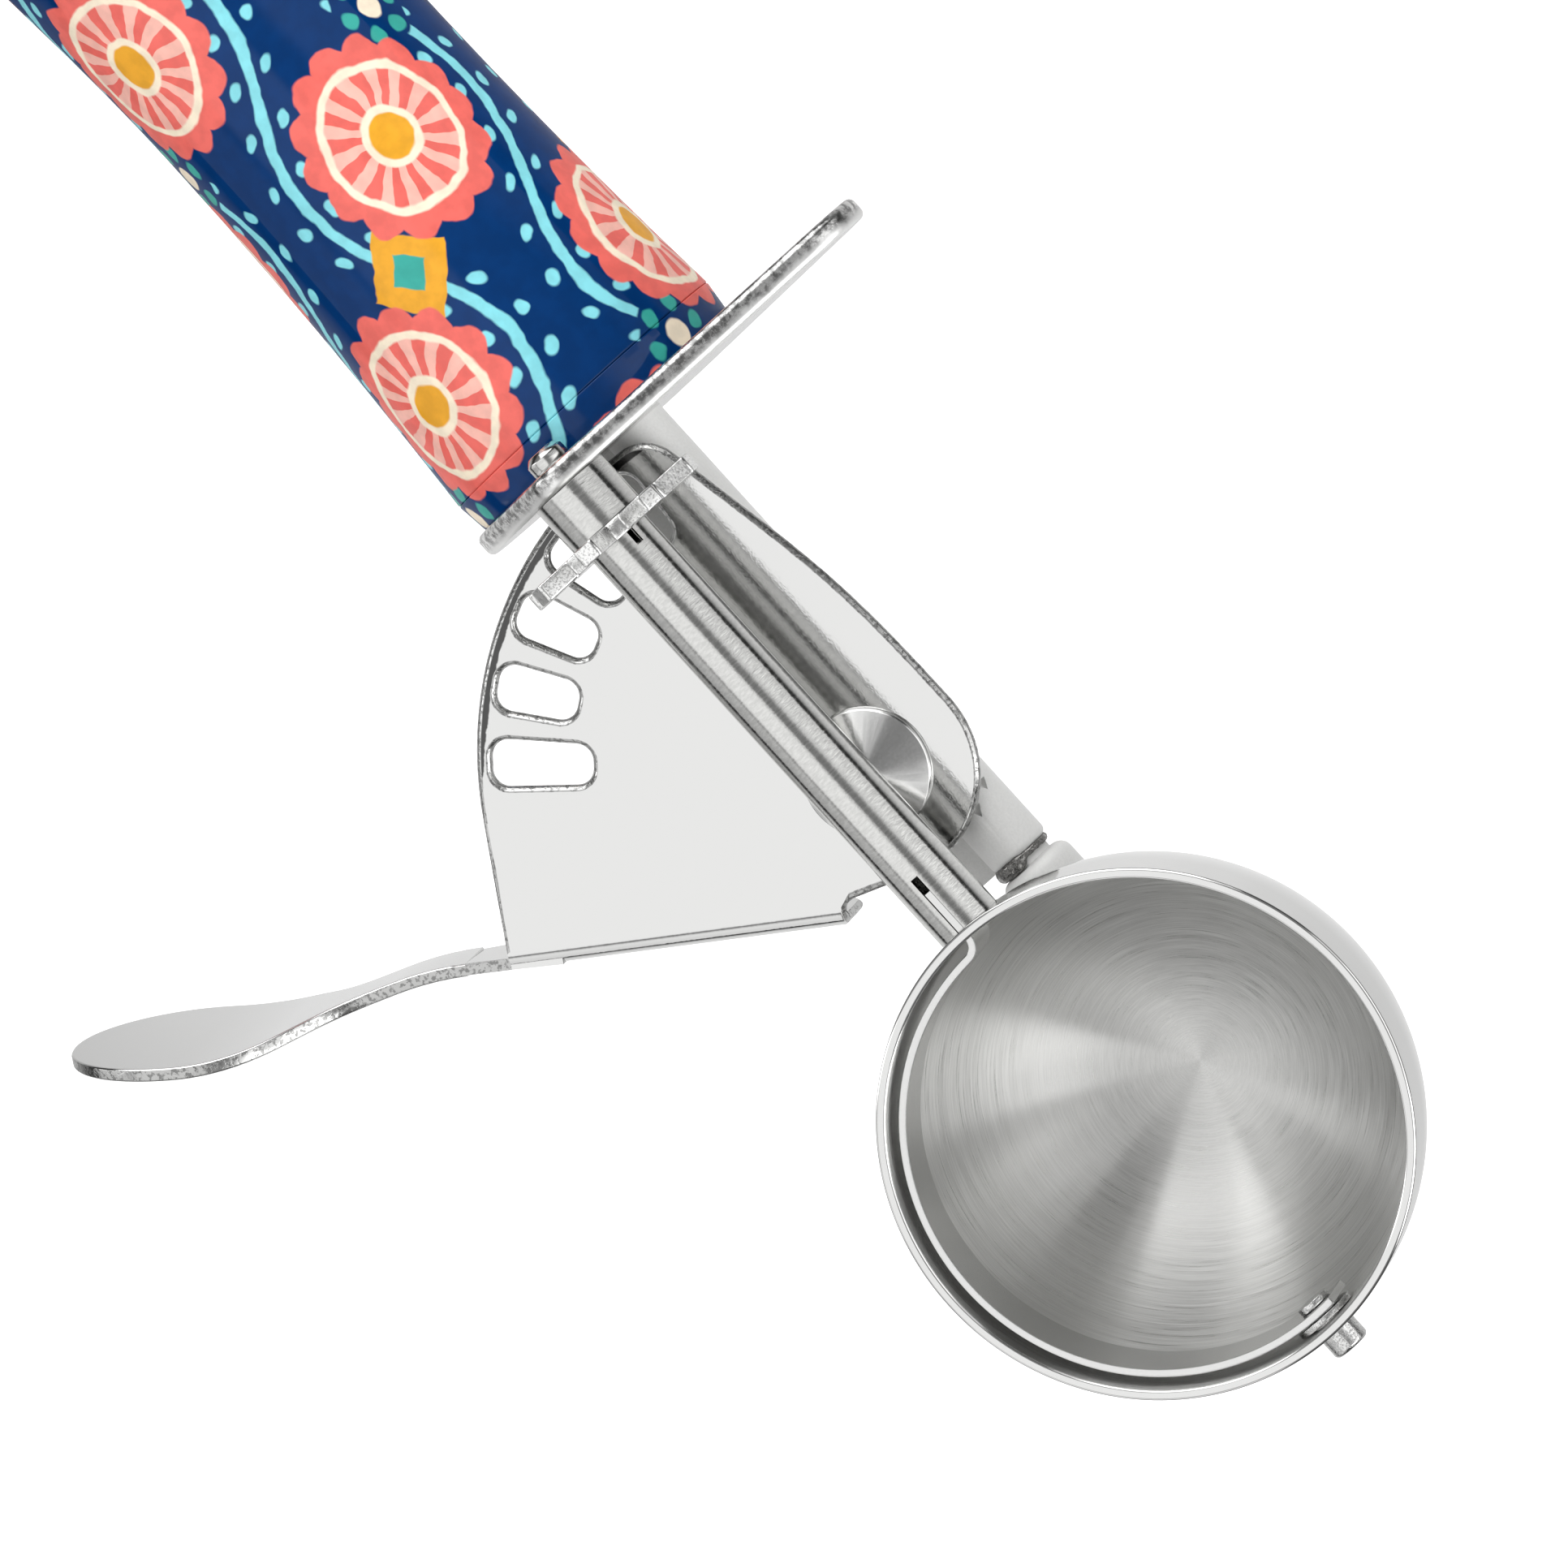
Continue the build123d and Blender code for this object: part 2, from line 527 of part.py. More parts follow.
# Shank: a flat web whose edge is rolled into a bead, notched round the spacer, staked on the foot's spigot,
# with a rod into the handle
with BuildPart() as shank:
    with BuildSketch(across(GUARD_X)):
        with Locations(((WEB_EDGE_Y + BEAD_Y) / 2, (WEB_TOP + WEB_BOTTOM) / 2)):
            Rectangle(BEAD_Y - WEB_EDGE_Y, WEB_THICK)
        with Locations((BEAD_Y, BEAD_Z)):
            Circle(BEAD_RADIUS)
    extrude(amount=BEAD_END_X - GUARD_X)
    fillet(shank.edges().group_by(Axis.X)[-1].filter_by(GeomType.CIRCLE), BEAD_END_ROUND)
    with BuildSketch(Plane((PIVOT_X, 0, WEB_BOTTOM))):
        Circle(RIVET_RADIUS + SEATED)
    extrude(amount=WEB_THICK, mode=Mode.SUBTRACT)
    with BuildSketch(Plane((PIVOT_X, 0, WEB_TOP))):
        Circle(SPACER_RADIUS + SEATED)
    extrude(amount=2 * BEAD_RADIUS, mode=Mode.SUBTRACT)
    with BuildSketch(across(BEAD_END_X)):
        with Locations((BEAD_Y, BEAD_Z)):
            Circle(SADDLE_SPIGOT_RADIUS + SEATED)
    extrude(amount=-SADDLE_SPIGOT - SEATED, mode=Mode.SUBTRACT)
    for stake in range(STAKE_COUNT):
        with BuildSketch(on_bead(STAKE_FROM_END + stake * STAKE_STEP, STAKE_TURN + stake * STAKE_TURN_STEP)):
            RegularPolygon(STAKE_RADIUS, 3)
        extrude(amount=-STAKE_DEPTH, both=True, mode=Mode.SUBTRACT)
    with BuildSketch(across(GUARD_X)):
        with Locations((BEAD_Y, BEAD_Z)):
            Circle(TANG_ROD_RADIUS)
    extrude(amount=-TANG_ROD_LENGTH)
save(shank, "shank")

# Foot: a round boss shaped to the bowl, on a short neck plugged into the bead
with BuildPart() as bowl_saddle:
    with BuildSketch(along(BEAD_Y, BEAD_Z)):
        with BuildLine():
            boss_x = BEAD_END_X + SADDLE_OFF_BEAD
            Polyline(
                (0, 0),
                (BEAD_END_X - SADDLE_SPIGOT, 0),
                (BEAD_END_X - SADDLE_SPIGOT, SADDLE_SPIGOT_RADIUS),
                (BEAD_END_X, SADDLE_SPIGOT_RADIUS),
                (BEAD_END_X, SADDLE_NECK_RADIUS),
                (boss_x, SADDLE_NECK_RADIUS),
                (boss_x, SADDLE_RADIUS - SADDLE_ROUND),
            )
            CenterArc((boss_x + SADDLE_ROUND, SADDLE_RADIUS - SADDLE_ROUND), SADDLE_ROUND, 90, 90)
            Polyline((boss_x + SADDLE_ROUND, SADDLE_RADIUS), (0, SADDLE_RADIUS), (0, 0))
        make_face()
    revolve(axis=Axis((0, BEAD_Y, BEAD_Z), (1, 0, 0)))
    with Locations(BOWL_CENTRE):
        Sphere(BOWL_RADIUS + SEATED, mode=Mode.SUBTRACT)
save(bowl_saddle, "bowl_saddle")

# Finger guard: a plate between shank and handle that carries the shaft pin and hooks out for a finger
with BuildSketch() as guard_outline:
    with Locations((HANDLE_Y, HANDLE_Z)):
        Circle(GUARD_SEAT_RADIUS)
    with Locations((0, SHAFT_Z)):
        Circle(GUARD_PIN_LOBE)
    with Locations((GUARD_TIP_Y, GUARD_TIP_Z)):
        Circle(GUARD_TIP_RADIUS)
    make_hull(guard_outline.edges())

with BuildPart() as finger_guard:
    with BuildSketch(across(GUARD_BACK)):
        add(guard_outline.sketch)
    extrude(amount=GUARD_THICK)
    fillet(finger_guard.edges().filter_by(Axis.X, reverse=True), GUARD_ROUND)
    with BuildSketch(across(GUARD_BACK)):
        with Locations((0, SHAFT_Z)):
            Circle(PIN_RADIUS + SEATED)
        with Locations((BEAD_Y, BEAD_Z)):
            Circle(TANG_ROD_RADIUS + SEATED)
    extrude(amount=GUARD_THICK, mode=Mode.SUBTRACT)
save(finger_guard, "finger_guard")

# Shaft pin: riveted through the guard, the shaft turns on its far end
with BuildPart() as shaft_pin:
    with BuildSketch(across(GUARD_BACK)):
        with Locations((0, SHAFT_Z)):
            Circle(PIN_HEAD_RADIUS)
    extrude(amount=-PIN_HEAD)
    chamfer(shaft_pin.edges().group_by(Axis.X)[0], 0.3 * PIN_HEAD_RADIUS)
    with BuildSketch(across(GUARD_BACK)):
        with Locations((0, SHAFT_Z)):
            Circle(PIN_RADIUS)
    extrude(amount=PIN_END - GUARD_BACK)
save(shaft_pin, "shaft_pin")

# Sleeve: spaces the pinion off the guard, its nose is the tube's rear bearing and holds the spring's leg
LEG_Y = SPRING_RADIUS * cos(radians(SPRING_BEND_TURN))
LEG_Z = SHAFT_Z - SPRING_RADIUS * sin(radians(SPRING_BEND_TURN))
with BuildPart() as hub_sleeve:
    with BuildSketch(across(GUARD_X)):
        with Locations((0, SHAFT_Z)):
            Circle(SLEEVE_RADIUS)
    extrude(amount=SLEEVE_FRONT - GUARD_X)
    with BuildSketch(across(SLEEVE_FRONT)):
        with Locations((0, SHAFT_Z)):
            Circle(TUBE_BORE - RUNNING)
    extrude(amount=PINION_FRONT - SLEEVE_FRONT)
    with BuildSketch(across(GUARD_X)):
        with Locations((0, SHAFT_Z)):
            Circle(PIN_RADIUS + SEATED)
    extrude(amount=PINION_FRONT - GUARD_X, mode=Mode.SUBTRACT)
    with BuildSketch(across(PINION_FRONT)):
        with Locations((LEG_Y, LEG_Z)):
            Circle(SPRING_WIRE / 2 + SEATED)
    extrude(amount=-SPRING_LEG, mode=Mode.SUBTRACT)
save(hub_sleeve, "hub_sleeve")

# Bush: the tube's front bearing on the pin
with BuildPart() as tube_bush:
    with BuildSketch(across(TUBE_BUSH_X)):
        with Locations((0, SHAFT_Z)):
            Circle(TUBE_BORE - SEATED)
            Circle(PIN_RADIUS + RUNNING, mode=Mode.SUBTRACT)
    extrude(amount=TUBE_BUSH_LENGTH)
save(tube_bush, "tube_bush")


def coil_point(turn, x):
    """Point at the spring's radius about the shaft, turn in degrees from +Y towards +Z."""
    return Vector(x, SPRING_RADIUS * cos(radians(turn)), SHAFT_Z + SPRING_RADIUS * sin(radians(turn)))


def coil_tangent(turn):
    """Direction of the coil's wire at the given turn."""
    around = 2 * pi * SPRING_RADIUS
    slope = Vector(SPRING_PITCH, -around * sin(radians(turn)), around * cos(radians(turn)))
    return slope.normalized()


def biarc(start, start_direction, end, end_direction):
    """Two arcs that leave start and reach end in the given directions and meet smoothly."""
    reach = end - start
    both = start_direction + end_direction
    bend = 2 * (1 - start_direction.dot(end_direction))
    along_both = reach.dot(both)
    lead = (sqrt(along_both**2 + bend * reach.dot(reach)) - along_both) / bend
    first_corner = start + start_direction * lead
    middle = (first_corner + end - end_direction * lead) / 2
    TangentArc(start, middle, tangent=start_direction)
    TangentArc(middle, end, tangent=(middle - first_corner).normalized())


def least_self_gap(path, turn_length):
    """Least clear distance between stretches of the wire that lie more than half a turn apart."""
    count = 40 * SPRING_TURNS
    points = [path @ (step / count) for step in range(count + 1)]
    apart = int(0.5 * turn_length / path.length * count) + 1
    pairs = [(a, b) for a in range(count + 1) for b in range(a + apart, count + 1)]
    return min((points[a] - points[b]).length for a, b in pairs) - SPRING_WIRE


# Return spring: a coil round the pin, one leg held in the sleeve and one at the front bush
SHAFT_DIRECTION = Vector(1, 0, 0)
HALF_TURNS = 2 * SPRING_TURNS
LAST_TURN = 360.0 * SPRING_TURNS
with BuildPart() as return_spring:
    with BuildLine() as spring_path:
        leg_foot = coil_point(-SPRING_BEND_TURN, COIL_X - SPRING_BEND)
        Line(coil_point(-SPRING_BEND_TURN, PINION_FRONT - SPRING_LEG + SEATED), leg_foot)
        biarc(leg_foot, SHAFT_DIRECTION, coil_point(0, COIL_X), coil_tangent(0))
        for half_turn in range(HALF_TURNS):
            here = 180.0 * half_turn
            there = here + 180.0
            here_x = COIL_X + SPRING_PITCH * here / 360
            there_x = COIL_X + SPRING_PITCH * there / 360
            biarc(
                coil_point(here, here_x),
                coil_tangent(here),
                coil_point(there, there_x),
                coil_tangent(there),
            )
        far_foot = coil_point(LAST_TURN + SPRING_BEND_TURN, COIL_END_X + SPRING_BEND)
        biarc(coil_point(LAST_TURN, COIL_END_X), coil_tangent(LAST_TURN), far_foot, SHAFT_DIRECTION)
        Line(far_foot, far_foot + SHAFT_DIRECTION * SPRING_LEG)
    with BuildSketch(Plane(origin=spring_path.line @ 0, z_dir=spring_path.line % 0)):
        Circle(SPRING_WIRE / 2)
    sweep()
save(return_spring, "return_spring")
print("spring least self gap", round(least_self_gap(spring_path.wire(), 2 * pi * SPRING_RADIUS), 3))

# Handle core: a plug round the tang rod, socketed for the butt cap
with BuildPart() as handle_core:
    with BuildSketch(across(GUARD_BACK)):
        with Locations((HANDLE_Y, HANDLE_Z)):
            Circle(CORE_RADIUS)
    extrude(amount=GRIP_BACK - GUARD_BACK)
    with BuildSketch(across(GUARD_BACK)):
        with Locations((BEAD_Y, BEAD_Z)):
            Circle(TANG_ROD_RADIUS + SEATED)
    extrude(amount=GUARD_THICK - TANG_ROD_LENGTH - SEATED, mode=Mode.SUBTRACT)
    with BuildSketch(across(GRIP_BACK)):
        with Locations((HANDLE_Y, HANDLE_Z)):
            Circle(CAP_SPIGOT_RADIUS + SEATED)
    extrude(amount=CAP_SPIGOT + SEATED, mode=Mode.SUBTRACT)
save(handle_core, "handle_core")

# Collar between guard and grip
with BuildPart() as handle_collar:
    with BuildSketch(along(HANDLE_Y, HANDLE_Z)):
        with BuildLine():
            Polyline(
                (GUARD_BACK, CORE_RADIUS + SEATED),
                (GUARD_BACK, COLLAR_GUARD_RADIUS),
                (COLLAR_BACK, HANDLE_BASE_RADIUS),
                (COLLAR_BACK, CORE_RADIUS + SEATED),
                close=True,
            )
        make_face()
    revolve(axis=HANDLE_LINE)
save(handle_collar, "handle_collar")

# Grip: a waisted shell over the core
with BuildPart() as handle_grip:
    with BuildSketch(along(HANDLE_Y, HANDLE_Z)):
        with BuildLine():
            waist = (GUARD_BACK - HANDLE_WAIST_FROM_GUARD, HANDLE_WAIST_RADIUS)
            belly = (GUARD_BACK - HANDLE_BELLY_FROM_GUARD, HANDLE_BELLY_RADIUS)
            Line((COLLAR_BACK, CORE_RADIUS + SEATED), (COLLAR_BACK, HANDLE_BASE_RADIUS))
            TangentArc(waist, (COLLAR_BACK, HANDLE_BASE_RADIUS), tangent=(1, 0))
            Spline(waist, belly, tangents=[(-1, 0), (-1, 0)])
            TangentArc(belly, (GRIP_BACK, HANDLE_END_RADIUS), tangent=(-1, 0))
            Line((GRIP_BACK, HANDLE_END_RADIUS), (GRIP_BACK, CORE_RADIUS + SEATED))
            Line((GRIP_BACK, CORE_RADIUS + SEATED), (COLLAR_BACK, CORE_RADIUS + SEATED))
        make_face()
    revolve(axis=HANDLE_LINE)
save(handle_grip, "handle_grip")

# Butt cap: rounded end with a spigot in the core
with BuildPart() as handle_butt_cap:
    with BuildSketch(across(GRIP_BACK)):
        with Locations((HANDLE_Y, HANDLE_Z)):
            Circle(HANDLE_END_RADIUS)
    extrude(amount=-CAP_LENGTH)
    fillet(handle_butt_cap.edges().group_by(Axis.X)[0], CAP_ROUND)
    with BuildSketch(across(GRIP_BACK)):
        with Locations((HANDLE_Y, HANDLE_Z)):
            Circle(CAP_SPIGOT_RADIUS)
    extrude(amount=CAP_SPIGOT)
save(handle_butt_cap, "handle_butt_cap")
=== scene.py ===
"""Cookie scoop: modelled finish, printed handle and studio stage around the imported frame.

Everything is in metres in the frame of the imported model: the origin is the centre of the bowl's mouth,
+X runs along the shaft away from the handle and +Z points out of the mouth.
"""

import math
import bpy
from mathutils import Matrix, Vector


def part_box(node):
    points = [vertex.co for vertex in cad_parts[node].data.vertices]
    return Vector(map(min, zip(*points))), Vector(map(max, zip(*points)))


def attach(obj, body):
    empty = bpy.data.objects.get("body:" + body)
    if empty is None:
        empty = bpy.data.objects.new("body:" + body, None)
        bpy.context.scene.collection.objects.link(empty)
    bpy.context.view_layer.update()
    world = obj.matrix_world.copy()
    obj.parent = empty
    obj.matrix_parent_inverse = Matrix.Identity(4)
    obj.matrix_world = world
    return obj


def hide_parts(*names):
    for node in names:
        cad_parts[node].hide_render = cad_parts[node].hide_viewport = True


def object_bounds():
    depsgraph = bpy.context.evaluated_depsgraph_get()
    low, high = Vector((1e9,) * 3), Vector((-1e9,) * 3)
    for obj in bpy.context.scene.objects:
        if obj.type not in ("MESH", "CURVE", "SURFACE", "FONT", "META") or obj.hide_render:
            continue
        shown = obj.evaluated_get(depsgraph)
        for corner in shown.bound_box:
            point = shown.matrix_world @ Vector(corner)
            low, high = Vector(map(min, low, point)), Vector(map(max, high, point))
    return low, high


bl_info = {
    "name": "Cookie scoop",
    "version": (1, 0, 0),
    "blender": (4, 5, 0),
    "location": "View3D > Sidebar > Scoop",
    "description": "Models the finished cookie scoop over its packed frame",
    "category": "Object",
}

from contextlib import contextmanager

import bmesh
import bpy
from bpy.props import FloatProperty, FloatVectorProperty, IntProperty, PointerProperty
from mathutils import Matrix, Vector

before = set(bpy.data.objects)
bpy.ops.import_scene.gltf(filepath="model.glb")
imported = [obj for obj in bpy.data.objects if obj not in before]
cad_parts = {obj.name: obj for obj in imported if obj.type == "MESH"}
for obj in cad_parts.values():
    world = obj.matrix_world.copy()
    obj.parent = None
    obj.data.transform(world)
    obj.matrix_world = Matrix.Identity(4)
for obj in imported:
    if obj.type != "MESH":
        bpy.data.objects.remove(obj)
CAD_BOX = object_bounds()
MM = 0.001

# Places read from the frame
SHAFT_LOW, SHAFT_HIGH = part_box("shaft_pin")
SHAFT_Z = (SHAFT_LOW.z + SHAFT_HIGH.z) / 2
BOWL_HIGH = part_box("bowl")[1]
BOWL_RADIUS = BOWL_HIGH.x
HOOP_LOW, HOOP_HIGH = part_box("scraper_blade")
TUBE_LOW, TUBE_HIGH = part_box("shaft_tube")
END_PIN_LOW, END_PIN_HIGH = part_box("blade_pin")
BUSH_LOW, BUSH_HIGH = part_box("pivot_bush")
PIVOT = (BUSH_LOW + BUSH_HIGH) / 2
GRIP_LOW, GRIP_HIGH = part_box("handle_grip")
HANDLE_Y = (GRIP_LOW.y + GRIP_HIGH.y) / 2
HANDLE_Z = (GRIP_LOW.z + GRIP_HIGH.z) / 2
FOOT_LOW, FOOT_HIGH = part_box("bowl_saddle")
FOOT_LINE = (FOOT_LOW + FOOT_HIGH) / 2
SHANK_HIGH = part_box("shank")[1]
GUARD_LOW, GUARD_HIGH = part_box("finger_guard")

# The lever's folded flange, as in the frame
FOLD_ANGLE = math.radians(57.0)
FOLD_DIRECTION = Vector((-math.cos(FOLD_ANGLE), -math.sin(FOLD_ANGLE), 0))
FOLD_OUTWARD = Vector((math.sin(FOLD_ANGLE), -math.cos(FOLD_ANGLE), 0))
FOLD_END = 29.7 * MM
BEND_START = 9.8 * MM
BEND_ROUND = 1.6 * MM
NECK_JOINT = 2.5 * MM
# Section of its pressed edges, between a flat chamfer at 0.25 and a round at 0.5
PRESS_PROFILE = 0.33
# Least upright share of a normal that counts as the plate's skin and not as its punched edge
PLATE_SKIN = 0.93
# The same across the strip of flange, neck and pad, and along the shaft on pinion and guard
STRIP_SKIN = 0.6
PINION_SKIN = 0.6
GUARD_SKIN = 0.97
# Share of the edge rounding that the pad and its neck get
PAD_ROUND = 0.4
# Slack of tests on a place
TOUCH = 0.01 * MM
# Gap round what passes through the bowl's wall
HOLE_CLEARANCE = 0.06 * MM
# Growth of the weld's heavy side along the shaft and across it
WELD_SWELL = (2.0, 1.15, 1.15)
# Scale of the weld's ripple, and as shares of its section radius the ripple's depth and the weld's place
WELD_RIPPLE = 0.5 * MM
WELD_CRINKLE = 0.7
WELD_STAND = 0.6

# Camera fitted to the photograph
CAMERA_PLACE = Vector((-48.37, 235.41, 725.13)) * MM
CAMERA_RIGHT = Vector((0.6724, 0.7063, -0.2205))
CAMERA_UP = Vector((-0.7398, 0.6355, -0.2204))
CAMERA_SENSOR = 36.0
FOCAL_PIXELS = 12946
PHOTO_PIXELS = 1932
CAMERA_CLIP = 10 * MM

# Soft panels round the stage: bearing and half width in degrees from +X towards +Y, the heights on a
# unit sky between which the panel fades out, and its strength
SOFT_PANELS = (
    (161.0, 29.0, 0.6, 0.97, 2.7),
    (127.0, 5.0, 0.5, 0.9, 0.9),
    (91.0, 6.0, 0.76, 0.9, 0.75),
    (66.0, 19.0, 0.5, 0.95, 1.5),
    (27.0, 19.0, 0.5, 0.95, 3.7),
    (210.0, 17.0, 0.7, 0.9, 0.2),
    (232.5, 6.0, 0.5, 0.85, 2.8),
    (285.0, 45.0, 0.5, 0.7, 0.5),
    (251.0, 11.0, 0.5, 0.7, 0.4),
    (304.0, 26.0, 0.5, 0.7, 0.4),
)
# Softness of the panels' sides in degrees
PANEL_EDGE = 2.5
# Large light overhead, its half width in degrees and the shares of that between which it fades in
TOP_LIGHT = (0.0, -0.342, 0.94)
TOP_LIGHT_WIDTH = 28.0
TOP_LIGHT_EDGE = (1.15, 0.85)
TOP_LIGHT_STRENGTH = 0.94
# Height on the unit sky at which its overhead brightness is reached
ZENITH_FROM = 0.9
# Least level distance that a bearing is taken from
LEAST_LEVEL = 0.001
# Middle of the lit part of the floor, the share of it that is lit evenly, and the gap under the object
POOL_CENTRE = Vector((-25.0, -15.0, 0.0)) * MM
POOL_EVEN = 0.1
FLOOR_GAP = 0.2 * MM
WHITE = (1.0, 1.0, 1.0, 1.0)
PALE = (0.5, 0.5, 0.5, 1.0)
DIM = (0.03, 0.03, 0.03, 1.0)

# Range that most of a noise's values lie in
NOISE_RANGE = (0.3, 0.7)
# Scale of the fine grain of polished sheet, and the depths that bump gives to fine and to broad relief
SHEET_GRAIN = 5200.0
FINE_DEPTH = 0.02 * MM
BROAD_DEPTH = 0.1 * MM

# Motifs of the handle's print
FULL_TURN = 2 * math.pi
PRINT_INKS = ("navy", "coral", "blush", "cream", "aqua", "mustard", "teal")
PRINT_WOBBLE = 0.9 * MM
PRINT_SOFTNESS = 0.12 * MM
SCROLL_SWING = 3.2 * MM
SCROLL_HALF_WIDTH = 0.55 * MM
DROP_RADIUS = 0.6 * MM
DROP_OFF_SCROLL = 1.9 * MM
DIAMOND_REACH = 4.2 * MM
DIAMOND_EYE = 1.8 * MM
ROSETTE_GROUND = 3.6 * MM
ROSETTE_RING = 2.5 * MM
ROSETTE_DOTS = 6
ROSETTE_DOT = 0.75 * MM
ROSETTE_EYE = 1.1 * MM
MEDALLION_SCALLOPS = 14
MEDALLION_RAYS = 14
SCALLOP_DEPTH = 0.9 * MM


class ScoopSizes(bpy.types.PropertyGroup):
    """Sizes of the finish that a user would change."""

    bowl_wall: FloatProperty(
        name="Bowl wall",
        description="Thickness of the bowl's sheet",
        default=0.8 * MM,
        unit="LENGTH",
        precision=5,
    )
    rim_round: FloatProperty(
        name="Rim round",
        description="Rounding of the bowl's rim",
        default=0.22 * MM,
        unit="LENGTH",
        precision=5,
    )
    hoop_thick: FloatProperty(
        name="Hoop thickness",
        description="Thickness of the scraper's strip",
        default=0.6 * MM,
        unit="LENGTH",
    )
    hoop_bend: FloatProperty(
        name="Hoop bend",
        description="Radius where the scraper leaves the tube",
        default=1.2 * MM,
        unit="LENGTH",
    )
    fine_round: FloatProperty(
        name="Fine round",
        description="Edge rounding of small turned pieces",
        default=0.08 * MM,
        unit="LENGTH",
    )
    sheet_round: FloatProperty(
        name="Sheet round",
        description="Edge rounding of punched sheet",
        default=0.16 * MM,
        unit="LENGTH",
    )
    press_round: FloatProperty(
        name="Press round",
        description="Edge rounding of the pressed lever",
        default=0.42 * MM,
        unit="LENGTH",
    )
    weld_ring: FloatProperty(
        name="Weld ring",
        description="Radius of the weld round the foot's neck",
        default=2.0 * MM,
        unit="LENGTH",
    )
    weld_bead: FloatProperty(
        name="Weld bead",
        description="Radius of the weld's own section",
        default=0.3 * MM,
        unit="LENGTH",
    )
    motif_length: FloatProperty(
        name="Motif length",
        description="Repeat of the print along the handle",
        default=33.0 * MM,
        unit="LENGTH",
    )
    motif_columns: IntProperty(
        name="Motif columns", description="Repeats of the print round the handle", default=3, min=1
    )
    motif_drops: IntProperty(
        name="Motif drops", description="Drops beside the scrolls in one repeat", default=9, min=1
    )
    medallion: FloatProperty(
        name="Medallion",
        description="Radius of the large printed motif",
        default=8.2 * MM,
        unit="LENGTH",
    )
    end_ring: FloatProperty(
        name="End ring",
        description="Radius of the printed ring on the handle's end",
        default=7.4 * MM,
        unit="LENGTH",
    )
    # Width of the band along the sector's arc where a dark reflection is painted into the sheet's colour
    painted_reflection_width: FloatProperty(
        name="Edge roll",
        description="Width of the dark rolled edge of the sector",
        default=0.6 * MM,
        unit="LENGTH",
    )


def paint(name, description, red, green, blue):
    """Colour property whose default is given in 8-bit screen values."""
    linear = [((c / 255 + 0.055) / 1.055) ** 2.4 for c in (red, green, blue)]
    return FloatVectorProperty(
        name=name, description=description, default=linear, subtype="COLOR", size=3, min=0.0, max=1.0
    )


class ScoopColours(bpy.types.PropertyGroup):
    """Colours of the finish that a user would change."""

    steel: paint("Steel", "Polished stainless steel", 214, 214, 213)
    bright_steel: paint("Bright steel", "Ground tube, sleeve and pin", 206, 206, 204)
    satin_steel: paint("Satin steel", "Satin stainless steel", 234, 234, 233)
    spun_steel: paint("Spun steel", "Brushed inside of the bowl", 220, 220, 218)
    cut_steel: paint("Cut steel", "Sheared edges of the sheet", 182, 182, 181)
    weld_grey: paint("Weld grey", "Scaled skin of the weld", 122, 121, 119)
    navy: paint("Navy", "Ground of the handle's print", 1, 52, 108)
    coral: paint("Coral", "Large motifs of the print", 239, 112, 103)
    blush: paint("Blush", "Light strokes in the large motifs", 250, 190, 176)
    cream: paint("Cream", "Rings of the large motifs", 253, 238, 214)
    aqua: paint("Aqua", "Scrolls of the print", 138, 221, 231)
    mustard: paint("Mustard", "Small motifs of the print", 238, 170, 50)
    teal: paint("Teal", "Centres of the small motifs", 62, 172, 160)
    nylon: paint("Nylon", "Bush inside the tube", 222, 218, 205)
    core: paint("Core", "Plastic inside the handle", 52, 58, 70)


class ScoopStage(bpy.types.PropertyGroup):
    """Light of the stage that a user would change."""

    zenith: FloatProperty(
        name="Zenith", description="Brightness of the sky overhead", default=0.26
    )
    horizon: FloatProperty(
        name="Horizon", description="Brightness of the sky near the floor", default=0.05
    )
    floor_glow: FloatProperty(
        name="Floor glow", description="Light that the floor gives off", default=0.47
    )
    floor_white: FloatProperty(
        name="Floor white", description="Glow of the floor as it is seen", default=0.95
    )
    floor_pool: FloatProperty(
        name="Floor pool",
        description="Reach of the lit part of the floor",
        default=0.15,
        unit="LENGTH",
    )
    floor_size: FloatProperty(
        name="Floor size", description="Width of the floor", default=4.0, unit="LENGTH"
    )


# Modelling helpers


def only(piece):
    """Makes one object the only selected and the active one."""
    bpy.ops.object.select_all(action="DESELECT")
    piece.select_set(True)
    bpy.context.view_layer.objects.active = piece


@contextmanager
def editing(piece):
    """Edit mode on one piece, with all of it selected at the start."""
    only(piece)
    bpy.ops.object.mode_set(mode="EDIT")
    bpy.ops.mesh.select_all(action="SELECT")
    yield
    bpy.ops.object.mode_set(mode="OBJECT")


def pick(piece, test):
    """In edit mode, selects the vertices whose place passes the test, and what lies between them."""
    bpy.ops.mesh.select_all(action="DESELECT")
    mesh = bmesh.from_edit_mesh(piece.data)
    for vertex in mesh.verts:
        vertex.select = test(vertex.co)
    mesh.select_flush(True)
    bmesh.update_edit_mesh(piece.data)


def apply_modifier(piece, kind, **settings):
    """Adds a modifier with the given settings and applies it."""
    only(piece)
    modifier = piece.modifiers.new(kind.title(), kind)
    for name, value in settings.items():
        setattr(modifier, name, value)
    bpy.ops.object.modifier_apply(modifier=modifier.name)


def round_edges(piece, width, segments=2, least=30.0):
    """Rounds every edge that turns by more than the least angle."""
    apply_modifier(
        piece,
        "BEVEL",
        width=width,
        segments=segments,
        limit_method="ANGLE",
        angle_limit=math.radians(least),
        use_clamp_overlap=True,
        miter_outer="MITER_ARC",
    )


